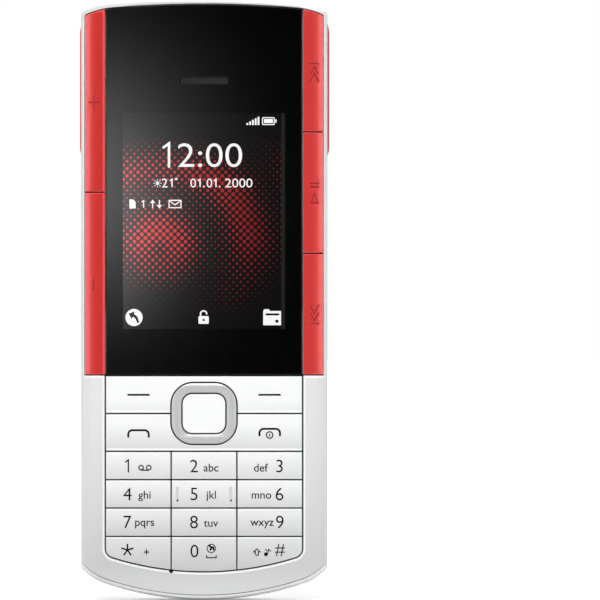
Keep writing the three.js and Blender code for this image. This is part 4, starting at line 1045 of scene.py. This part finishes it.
FIGURE = 2.85
lines = WINDOW_FRONT - 0.02
glyphs = [text_mesh("2:00", 7.7, *at(210, 155.2), lines, thin=0.05, width=1.13)]
glyphs += [text_mesh(words, FIGURE, *at(px, py), lines, width=width) for words, px, py, width in (
    ("2", 164.6, 183, 1), ("0", 193.2, 183, 1), (".", 203.8, 186.6, 1), ("0", 209.4, 183, 1),
    (".", 219.8, 186.6, 1), ("2000", 238.8, 183, 1.1))]
glyphs += [mesh_of("icons", decal([hoop(176.3, 178.9, 0.2, 0.09), *icons], lines, sink=0.01))]
piece("display_figures", merged("display_figures", glyphs), display_white(), "window_black")

# ---------------------------------------------------------------- side keys

SIDE_KEYS = {
    "volume_up": (-1, 90.7, BODY_LENGTH), "volume_down": (-1, KEYPAD_TOP + SIDE_GAP, 90.7),
    "previous": (1, 104.1, BODY_LENGTH), "play": (1, 77.1, 104.1), "next": (1, KEYPAD_TOP + SIDE_GAP, 77.1),
}


def plus(px, py, reach_x, reach_z, half):
    x, z = at(px, py)
    corners = [(half, half), (half, reach_z), (-half, reach_z), (-half, half), (-reach_x, half), (-reach_x, -half),
               (-half, -half), (-half, -reach_z), (half, -reach_z), (half, -half), (reach_x, -half), (reach_x, half)]
    return [(x + dx, z + dz) for dx, dz in corners]


def chevron(y_tip, y_ends, half_width, x=314.4):
    return pen(THIN, x - half_width, y_ends, x, y_tip, x + half_width, y_ends)


THIN = 0.15
SIDE_ICONS = {
    "volume_up": [plus(94, 102.4, 1.2, 1.55, THIN)],
    "volume_down": [pen(THIN, 93.8, 278, 93.8, 290.5)],
    "previous": [pen(THIN, 310.4, 63.6, 318.4, 63.6), chevron(66.6, 74, 3.8), chevron(73, 81.4, 4.2)],
    "play": [pen(0.2, 310.6, 183.4, 318.4, 183.4), pen(0.2, 310.6, 187, 318.4, 187)],
    "next": [chevron(313.6, 305.2, 4.2), chevron(320.8, 313.4, 3.8), pen(THIN, 310.4, 323.6, 318.4, 323.6)],
}


def below_shoulder(depth):
    return lambda x, z: shoulder(x, z) + depth


field = body_outline(RIM_WIDTH + FINE_SEAM, TOP_RIM + FINE_SEAM, RIM_WIDTH)
# Painted shade: black sheets behind the side keys, so that their seams read dark.
for name, near, far in (("left", -26.4, -22.1), ("right", 22.1, 26.4)):
    seam_shade_sheet = prism(clipped(field, near, far, KEYPAD_TOP + 0.1, 131.5), -5.2, DECK_FRONT)
    slot_piece(f"side_seam_shade_{name}", seam_shade_sheet, "foam_black")
for name, (side, bottom, top) in SIDE_KEYS.items():
    near, far = sorted((side * SIDE_KEY_INNER, side * 40))
    loop = clipped(field, near, far, bottom + SEAM / 2, top - SEAM / 2)
    key, pocket_shades = Skin(), Skin()
    pockets = [(icon, ICON_DEPTH, 0.03) for icon in SIDE_ICONS[name]]
    if name == "play":
        outer = pixels(314.4, 191.6, 310.2, 203.8, 318.6, 203.8)
        pockets.append((outer, ICON_DEPTH, 0.03))
        middle = (outer[0][0], (outer[0][1] + outer[1][1] * 2) / 3)
        island = [(middle[0] + (x - middle[0]) * 0.62, middle[1] + (z - middle[1]) * 0.62) for x, z in outer]
        key.plate(island, shoulder, below_shoulder(0.34), edge=0.03)
        pocket_shades.plate(outer, below_shoulder(SHADE_PLATE_DEPTH), below_shoulder(SHADE_PLATE_REAR), edge=0.01, bands=1,
                    holes=[(island, None, 0.01)])
    key.plate(dense(loop, 1.2), shoulder, flat(SIDE_KEY_REAR), holes=pockets, edge=0.16,
              spacing=(0.35, 1.6), bands=4)
    # Painted shade: darker red plates down in each icon's pocket.
    for icon in SIDE_ICONS[name]:
        pocket_shades.plate(icon, below_shoulder(SHADE_PLATE_DEPTH), below_shoulder(SHADE_PLATE_REAR), edge=0.01, bands=1)
    slot_piece(f"{name}_cap", key, "side_key_red", body=name, nodes=[f"{name}_key"], smooth=40)
    piece(f"{name}_pocket_shade", pocket_shades, pocket_shade_red, "side_key_red", body=name)

# ---------------------------------------------------------------- keypad

ROWS = [["key_1", "key_2", "key_3"], ["key_4", "key_5", "key_6"],
        ["key_7", "key_8", "key_9"], ["key_star", "key_0", "key_hash"]]
key_field = keypad_outline(0)
FACES = {}


def key_piece(name, loop, body, node, bottom, top):
    """A cap whose face falls back a little above and below its middle."""
    middle, half = (bottom + top) / 2, (top - bottom) / 2
    FACES[body] = face = lambda x, z: KEY_FACE + KEY_CROWN * ((z - middle) / half) ** 2
    cap = Skin().plate(dense(loop, 0.7), face, flat(KEY_REAR), edge=KEY_EDGE, bands=4, spacing=(3, 0.7))
    slot_piece(name, cap, "key_white", body=body, nodes=[node])


def ring_outline(grow):
    return rounded(0, RING_Z, RING_WIDTH + grow * 2, RING_HEIGHT + grow * 2, 4.8 + grow, 14)


def select_outline(grow):
    return rounded(0, RING_Z, SELECT_WIDTH + grow * 2, SELECT_HEIGHT + grow * 2, 2.1 + grow, 10)


def function_loop(bottom, top, sign):
    """A plate that passes round the navigation ring, above it (1) or below it (-1)."""
    plain = clipped(key_field, -WIDE, WIDE, bottom, top)
    edge = bottom if sign > 0 else top
    ring = [p for p in ring_outline(RING_SEAM) if (p[1] - edge) * sign > 0.02]
    notch = sorted(ring, key=lambda p: math.atan2((p[1] - RING_Z) * sign, p[0]))
    notch = [(notch[0][0], edge), *notch, (notch[-1][0], edge)][::-sign]
    start = next(i for i, p in enumerate(plain) if p[1] == edge and p[0] * sign < 0)
    return tidy(plain[:start + 1] + notch + plain[start + 1:])


def ring_surface(x, z):
    """The ring is crowned between its two edges."""
    inner_x, inner_z = SELECT_WIDTH / 2 + RING_SEAM, SELECT_HEIGHT / 2 + RING_SEAM
    far_x = (abs(x) - inner_x) / (RING_WIDTH / 2 - inner_x)
    far_z = (abs(z - RING_Z) - inner_z) / (RING_HEIGHT / 2 - inner_z)
    share = min(max(far_x, far_z, 0), 1)
    return KEY_FACE + RING_CROWN * (2 * share - 1) ** 2


for name, body, node, bottom, top, sign in (
        ("softkey_cap", "softkeys", "softkey_rocker", RING_Z + HALF_SEAM, SOFT_TOP, 1),
        ("call_cap", "call_keys", "call_rocker", FUNCTION_BOTTOM + HALF_SEAM, RING_Z - HALF_SEAM, -1)):
    key_piece(name, function_loop(bottom, top, sign), body, node, bottom, top)
ring_skin = Skin().plate(ring_outline(0), ring_surface, flat(RING_REAR), edge=0.14, bands=4, spacing=(0.5, 0.5),
                         holes=[(select_outline(RING_SEAM), None, 0.12)])
slot_piece("nav_ring_cap", ring_skin, "ring_silver", body="nav_tilt", nodes=["nav_ring"])
piece("select_cap", Skin().plate(select_outline(0), flat(KEY_FACE), flat(KEY_REAR), edge=KEY_EDGE, bands=4),
      moulded("select_white", toned(249, 250, 250), vary=0.004), "key_white", "select", ["select_key"])

edges = [-WIDE, -COLUMN_EDGE, COLUMN_EDGE, WIDE]
for row, names in enumerate(ROWS):
    top = FUNCTION_BOTTOM - ROW_PITCH * row - HALF_SEAM
    bottom = 0 if row == 3 else FUNCTION_BOTTOM - ROW_PITCH * (row + 1) + HALF_SEAM
    for column, name in enumerate(names):
        loop = clipped(key_field, edges[column] + HALF_SEAM, edges[column + 1] - HALF_SEAM, bottom, top)
        key_piece(f"{name}_cap", loop, name, name, LAST_ROW_BOTTOM if row == 3 else bottom, top)

bars, dots = Skin(), []
for sign in (-1, 1):
    bars.plate(rounded(sign * BAR_X, BAR_Z, 0.62, 3.4, 0.2), flat(BAR_FACE), flat(KEY_FACE + 0.2), edge=0.08)
    dots.append(circle(sign * BAR_X + 0.06, BAR_Z - 1.4, 0.2, 20))
# Painted shade: the raised bars on key 5 are painted light grey.
piece("key_5_bars", bars, moulded("bar_shade_grey", toned(214, 215, 215), vary=0.01), "key_white", "key_5")

# ---------------------------------------------------------------- legends

DIGIT, LETTER, LINE, PRINT = 4.08, 2.5, 0.165, 0.035
FIGURES = {
    "key_2": [("2", 194, 466, DIGIT), ("abc", 211, 467.6, LETTER)],
    "key_3": [("def", 261, 467.6, LETTER), ("3", 279.5, 466, DIGIT)],
    "key_4": [("4", 127.5, 494, DIGIT), ("ghi", 144.5, 496, LETTER)],
    "key_5": [("5", 194, 494, DIGIT), ("jkl", 211, 496, LETTER)],
    "key_6": [("mno", 261.5, 496, LETTER), ("6", 279.5, 494, DIGIT)],
    "key_7": [("7", 127.5, 522, DIGIT), ("pqrs", 144.7, 524.5, LETTER)],
    "key_8": [("8", 194, 522, DIGIT), ("tuv", 211, 523.6, LETTER)],
    "key_9": [("wxyz", 262, 524.5, LETTER), ("9", 279.8, 522, DIGIT)],
    "key_0": [("0", 194.5, 551, DIGIT)],
    "key_hash": [("#", 280, 550, DIGIT * 0.95)],
}


def star(px, py, radius):
    x, z = at(px, py)
    loop = []
    for turn in [math.pi / 2 + 2 * math.pi * k / 5 for k in range(5)]:
        along, across = (math.cos(turn), math.sin(turn)), (-math.sin(turn), math.cos(turn))
        for reach, side in ((0.25, -LINE), (radius, -LINE), (radius, LINE), (0.25, LINE)):
            loop.append((x + along[0] * reach + across[0] * side, z + along[1] * reach + across[1] * side))
    return tidy(loop)


def handset(x0, x1, y_top, y_foot):
    r = 4.2 / PX
    (left, top), (right, foot) = at(x0, y_top), at(x1, y_foot)
    path = [(left, foot)] + arc(left + r, top - r, r, math.pi, math.pi / 2, 8)
    path += arc(right - r, top - r, r, math.pi / 2, 0, 8) + [(right, foot)]
    return stroke(path, 0.215)


SIGNS = {
    "key_1": [figure_one(128, 466, 3, 0.15), hoop(141.2, 467.6, 0.5, 0.13), hoop(148.8, 467.6, 0.5, 0.13),
              pen(0.13, 141.2, 470.2, 148.8, 470.2)],
    "key_star": [star(127.5, 550, 1.4), plus(146.5, 552, 0.6, 0.6, 0.12)],
    "key_0": [hoop(211.3, 548.4, 0.92, 0.1), pen(0.22, 209.6, 545.8, 211.6, 547.4, 210.4, 549.6),
              pen(0.2, 213.2, 547, 213.6, 549.6),
              pen(0.12, 206.6, 555.6, 206.6, 557.6, 216.2, 557.6, 216.2, 555.6)],
    "key_hash": [pen(0.11, 255.4, 555, 255.4, 551.8, 253.8, 551.8, 256.9, 548.9, 260, 551.8, 258.4, 551.8,
                     258.4, 555, 255.4, 555),
                 circle(*at(265.9, 554.2), 0.42, 20), pen(0.11, 267.4, 554, 268.6, 549.4, 270.6, 551),
                 pen(0.1, 265.4, 549.2, 266.9, 550.8)],
    "softkeys": [pen(0.2, 128.2, 394.8, 149, 394.8), pen(0.2, 259.2, 394.8, 280, 394.8)],
    "call_keys": [handset(128.3, 148.8, 430.2, 436.8), handset(259.5, 280, 428.8, 435.4),
                  hoop(269.6, 435, 0.72, 0.13), pen(0.13, 269.6, 434.2, 269.6, 436)],
}


def settled(mesh, face):
    """The mesh drawn on KEY_FACE, laid on a key's own crowned face."""
    for vertex in mesh.vertices:
        vertex.co.y += (face(vertex.co.x / MM, vertex.co.z / MM) - KEY_FACE) * MM
    return mesh


for body in sorted(set(FIGURES) | set(SIGNS)):
    meshes = [text_mesh(words, size, *at(px, py), KEY_FACE, thin=0.02 if size > 3 else -0.012, proud=PRINT)
              for words, px, py, size in FIGURES.get(body, [])]
    if body in SIGNS:
        meshes.append(mesh_of("signs", decal(SIGNS[body], KEY_FACE, proud=PRINT)))
    if body == "key_5":
        meshes.append(mesh_of("signs", decal(dots, BAR_FACE, proud=PRINT)))
    legend = settled(merged(f"legend_{body}", meshes), FACES[body])
    piece(f"legend_{body}", legend, ink, "black_plastic", body)

# ---------------------------------------------------------------- back: cover, camera, grilles


def cover_surface(x, z):
    out = max(abs(x) - COVER_FLAT, 0) / (GROOVE_INNER - COVER_FLAT)
    return COVER_CROWN - COVER_SAG * out**2


def below_cover(depth):
    return lambda x, z: cover_surface(x, z) - depth


def slot_outline(z, grow=0.0):
    return rounded(0, z, 15.6 + grow * 2, 1.9 + grow * 2, 0.94 + grow)


def square(half, corner):
    return rounded(0, CAMERA_Z, half * 2, half * 2, corner, 10)


cover_loop = dense(arch_outline(COVER_HALF, COVER_TOP, COVER_BOTTOM, (TOP_RADIUS, CHIN_RADIUS - COVER_BOTTOM),
                                (1.5, 0.8)), 2)
cover_holes = [(slot_outline(z), None, 0.15) for z in GRILLES.values()]
cover_holes += [(square(5.2, 3.2), None, 0.12), (circle(FLASH_X, CAMERA_Z, 2.05), None, 0.12)]
slot_piece("back_cover", Skin().plate(
    cover_loop, cover_surface, below_cover(COVER_THICK), toward=-1, edge=0.3, bands=4, spacing=(1.4, 3),
    holes=cover_holes), "cover_white", nodes=["battery_cover"])
for name, z in GRILLES.items():
    slot_piece(f"grille_border_{name}", Skin().plate(
        slot_outline(z, -0.03), below_cover(0.25), below_cover(0.6), toward=-1, edge=0.04, bands=1,
        holes=[(slot_outline(z, -0.32), None, 0.04)]), "black_plastic")

slot_piece("camera_frame", Skin().plate(
    square(4.9, 2.9), flat(5.95), flat(4.5), toward=-1, edge=0.22, bands=4,
    holes=[(square(4.1, 2.1), None, 0.18)]), "cover_white", nodes=["camera_bezel"])
slot_piece("camera_pane", Skin().plate(
    square(3.8, 1.8), flat(5.8), flat(5.0), toward=-1, edge=0.1,
    holes=[(circle(0, CAMERA_Z, 2.62), None, 0.06)]), "window_black", nodes=["camera_window"], smooth=8)
piece("lens_barrel", Skin().lathe(0, CAMERA_Z, [
    (0, 4.9), (2.6, 4.9), (2.6, 5.7), (2.42, 5.74), (2.3, 5.66), (2.2, 5.4), (1.85, 5.34),
    (1.8, 5.18), (1.45, 5.12), (1.4, 4.98), (0, 4.98)], 64), lens_rings, "black_plastic")
dome = [(LENS_RADIUS * math.sin(t), LENS_Y + LENS_RISE * math.cos(t))
        for t in [math.pi / 2 * k / 10 for k in range(1, 11)]]
piece("lens_dome", Skin().lathe(0, CAMERA_Z, [(0, LENS_Y + LENS_RISE), *dome, (0, 5.0)]), lens_glass(),
      "window_black")
slot_piece("flash_collar", Skin().lathe(FLASH_X, CAMERA_Z, [
    (1.64, 4.6), (1.92, 4.6), (1.92, 5.46), (1.85, 5.54), (1.72, 5.54), (1.64, 5.46), (1.64, 4.6)]),
    "ring_silver")
piece("camera_gasket", Skin().plate(
    square(5.15, 3.15), flat(5.35), flat(4.6), toward=-1, edge=0.03, holes=[(square(4.94, 2.94), None, 0.03)]),
    moulded("gasket_grey", linear(96, 97, 99), rough=0.6), "black_plastic")
slot_piece("flash_dome", Skin().lathe(FLASH_X, CAMERA_Z, [
    (0, 4.4), (1.58, 4.4), (1.58, 5.42), (1.45, 5.52), (1.2, 5.56), (0.9, 5.5), (0.5, 5.56), (0, 5.58)]),
    "lens_amber", nodes=["flash_lens"])

# ---------------------------------------------------------------- slider cap


def cap_y(x):
    share = min(abs(x) / CAP_HALF, 1)
    return CAP_BASE + (CAP_CROWN - CAP_BASE) * (1 - share**CAP_POWER) ** (1 / CAP_POWER)


def below_cap(depth):
    return lambda x, z: cap_y(x) - depth


def edge_z(x, top, radius, corner):
    """Height of the cap's arched edge at X."""
    arch_z, cz, turn = arch_turn(CAP_HALF, top, radius, corner)
    if abs(x) <= radius * math.cos(turn):
        return arch_z + math.sqrt(radius**2 - x**2)
    return cz + math.sqrt(max(corner**2 - (abs(x) - (CAP_HALF - corner)) ** 2, 0))


# Rows near the cap's lower and upper edges: (distance from the edge, how far the outer face sinks there).
LOW_ROWS = [(0, 0.62), (0.3, 0.36), (0.6, 0.1), (0.76, 0.02), (0.9, 0)]
HIGH_ROWS = [(0, 0.34), (0.12, 0.16), (0.3, 0.03), (0.45, 0)]


def cap_grid(half, crown_y, sinks, columns=96, rows=26):
    """Points of one face of the cap, whose edges sink or not."""
    grid = []
    for i in range(columns + 1):
        turn = math.pi * i / columns
        across = math.copysign(abs(math.cos(turn)) ** (2 / CAP_POWER), math.cos(turn))

        def point(drop, height):
            x = (half - drop) * across
            y = CAP_BASE + (crown_y - drop - CAP_BASE) * math.sin(turn) ** (2 / CAP_POWER)
            top = edge_z(x, CAP_TOP, TOP_RADIUS, CAP_TOP_CORNER)
            bottom = -edge_z(x, -CAP_BOTTOM, CAP_LOW_RADIUS, CAP_LOW_CORNER)
            return x, y, height(bottom, top)

        column = [point(drop * sinks, lambda low, high: low + d) for d, drop in LOW_ROWS]
        column += [point(0, lambda low, high: low + 1 + (high - low - 2) * k / rows) for k in range(1, rows)]
        column += [point(drop * sinks, lambda low, high: high - d) for d, drop in HIGH_ROWS[::-1]]
        grid.append(column)
    return grid


def cap_skin():
    skin = Skin()
    outer = [skin.ring(column) for column in cap_grid(CAP_HALF, CAP_CROWN, True)]
    inner = [skin.ring(column) for column in cap_grid(CAP_INNER_HALF, CAP_INNER, False)]
    for grid in (outer, inner):
        for a, b in zip(grid, grid[1:]):
            skin.band(a, b, closed=False)
    for end in (0, -1):
        skin.band(outer[end], inner[end], closed=False)
        skin.band([c[end] for c in outer], [c[end] for c in inner], closed=False)
    return skin


cap, sunk_shades = cap_skin(), Skin()
for z in (106.9, 103.3):
    path = [(-3.15, z + 1.95), (0, z + 0.2), (3.15, z + 1.95)]
    low = dense(stroke(path, 0.3), 0.4)
    cap.plate(dense(stroke(path, 0.78), 0.4), below_cap(-0.26), below_cap(0.3), toward=-1, edge=0.2,
              holes=[(low, None, 0.12)])
    # Painted shade: darker red plates down in each chevron's sunk line.
    sunk_shades.plate(low, below_cap(-0.03), below_cap(0.1), toward=-1, edge=0.01, bands=1)
for sign in (-1, 1):
    section = [(21.75, 2.3), (23.75, 2.3), (23.75, 2.7), (22.75, 2.7), (22.75, 5.35), (21.75, 5.5)]
    cap.bar([(sign * x, y) for x, y in section], 101, 128)
slot_piece("slider_shell", cap, "cap_red", body="slider", nodes=["slider_cap"], smooth=40)
piece("chevron_sunk_shade", sunk_shades, moulded("chevron_shade_red", toned(200, 50, 46), vary=0.01), "cap_red", "slider")

# ---------------------------------------------------------------- earbuds

BUD_END = 0.12
bud_rim = 1 / math.hypot(math.sin(NOZZLE_TURN) / (BUD_WIDTH / 2), math.cos(NOZZLE_TURN) / (BUD_HEIGHT / 2))


def along_nozzle(side, profile):
    """A round piece on the nozzle's axis; the profile is (radius, distance from the bud's middle)."""
    skin = Skin().lathe(0, 0, profile, 40)
    sine, cosine = math.sin(NOZZLE_TURN), math.cos(NOZZLE_TURN)
    skin.points = [
        (side * (BUD_X - along * sine + x * cosine), BUD_Y + z, BUD_Z - along * cosine - x * sine)
        for x, along, z in skin.points
    ]
    return skin


for name, side in (("left", -1), ("right", 1)):
    rings = []
    for turn in [BUD_END + (math.pi - BUD_END * 2) * k / 24 for k in range(25)]:
        share = math.sin(turn) ** 0.6
        y = BUD_Y - BUD_DEPTH / 2 * math.cos(turn) / math.cos(BUD_END)
        rings.append([
            (side * BUD_X + BUD_WIDTH / 2 * share * math.cos(t), y, BUD_Z + BUD_HEIGHT / 2 * share * math.sin(t))
            for t in [2 * math.pi * i / 72 for i in range(72)]
        ])
    bud_mesh = mesh_of("bud", Skin().loft(rings), 50)
    end = bud_rim + 4
    nozzle = along_nozzle(side, [(0, 2), (1.7, 2), (1.7, end - 0.2), (1.5, end), (0, end)])
    slot_piece(f"earbud_body_{name}", merged("bud", [bud_mesh, mesh_of("nozzle", nozzle)]), "earbud_white",
               nodes=[f"earbud_{name}"])
    cushion = [(2.0, 0), (2.25, 0), (2.65, 1.0), (2.7, 1.9), (2.6, 3.2), (2.38, 4.6), (2.2, 5.3), (2.1, 5.5),
               (2.0, 5.4), (2.0, 0)]
    slot_piece(f"earbud_cushion_{name}", along_nozzle(side, [(r, bud_rim + 0.6 + d) for r, d in cushion]),
               "silicone", nodes=[f"earbud_tip_{name}"], smooth=60)

# ---------------------------------------------------------------- floor, cards, lamps, camera


def stage_plane(name, corners, material):
    mesh = bpy.data.meshes.new(name)
    mesh.from_pydata(corners, [], [(0, 1, 2, 3)])
    mesh.materials.append(material)
    made = placed(name, mesh)
    return made


def floor_look():
    """Pale floor that reads white to the camera and keeps the shadow."""
    look = Look("floor")
    look.put(Base_Color=look.ramp(look.noise(6, 3), [(0.3, (0.86,) * 3), (0.7, (0.88,) * 3)]), Roughness=0.9)
    x, y = look.axis("X"), look.axis("Y")
    rise = look.spread((x * x + y * y).to("SQRT"), 0.26, 0.95, 0.12, 0.9)
    lit = look.made("Emission", 0, {"Strength": look.made("LightPath", "Is Camera Ray") * rise})
    return look.shown(look.made("AddShader", 0, {0: Value(look, look.shader.outputs[0]), 1: lit}))


GLOW_X, GLOW_Z, GLOW_RADIUS = -0.145, 0.147, 0.0527


def card_look(strength):
    """A dark studio card, seen only in reflections, with one soft glow that fades from its middle."""
    look = Look("studio_card")
    far = look.distance(GLOW_X, GLOW_Z) / GLOW_RADIUS
    return look.shown(look.made("Emission", 0, {"Strength": (far * far * -0.5).to("EXPONENT") * strength}))


FLOOR = 6
stage_plane("floor", [(x, y, 0) for x, y in ((-FLOOR, -FLOOR), (FLOOR, -FLOOR), (FLOOR, FLOOR), (-FLOOR, FLOOR))],
            floor_look())
for name, y, strength in (("front_card", -3, 5.4), ("rear_card", 3, 0.6)):
    card = stage_plane(name, [(x, y, z) for x, z in ((-0.55, -0.35), (0.55, -0.35), (0.55, 0.75), (-0.55, 0.75))],
                       card_look(strength))
    for ray in ("camera", "diffuse", "shadow", "transmission"):
        setattr(card, f"visible_{ray}", False)

AIM = Vector((0, 0, 0.07))
for name, place, size, power in (
        ("front_key", (-0.15, -1.25, 1.35), (0.9, 0.7), 16), ("back_key", (0.4, 1.25, 1.35), (0.9, 0.7), 13.5),
        ("front_strip", (-1.3, -0.6, 0.25), (0.3, 1.0), 3.4), ("back_strip", (-1.3, 0.75, 0.25), (0.3, 1.0), 3.4),
        ("front_strip", (1.3, -0.6, 0.25), (0.3, 1.0), 3.4), ("back_strip", (1.3, 0.75, 0.25), (0.3, 1.0), 3.4)):
    data = bpy.data.lights.new(name, "AREA")
    data.shape = "RECTANGLE"
    data.size, data.size_y = size
    data.energy = power
    made = placed(name, data)
    made.location = place
    made.rotation_euler = (AIM - Vector(place)).to_track_quat("-Z", "Y").to_euler()
    made.visible_camera = False

# The world is dim, but full white to the camera and in reflections.
DIM = 0.32
world = bpy.data.worlds.new("studio")
bpy.context.scene.world = world
sky = Look("studio", world)
rays = [sky.made("LightPath", f"Is {kind} Ray") for kind in ("Camera", "Glossy", "Transmission")]
level = sky.spread(rays[0].to("MAXIMUM", rays[1].to("MAXIMUM", rays[2])), DIM, 1, 0, 1)
sky.put(Color=(1, 1, 1), Strength=level)

camera_data = bpy.data.cameras.new("camera")
camera_data.sensor_width = 36
camera_data.lens = 405
camera_data.clip_end = 50
camera = placed("camera", camera_data)
middle_x, middle_z = at(300, 300)
camera.location = (middle_x * MM, FACE_Y * MM - 1.5, middle_z * MM)
camera.rotation_euler = (math.pi / 2, 0, 0)
bpy.context.scene.camera = camera
bpy.context.scene.view_settings.view_transform = "Standard"
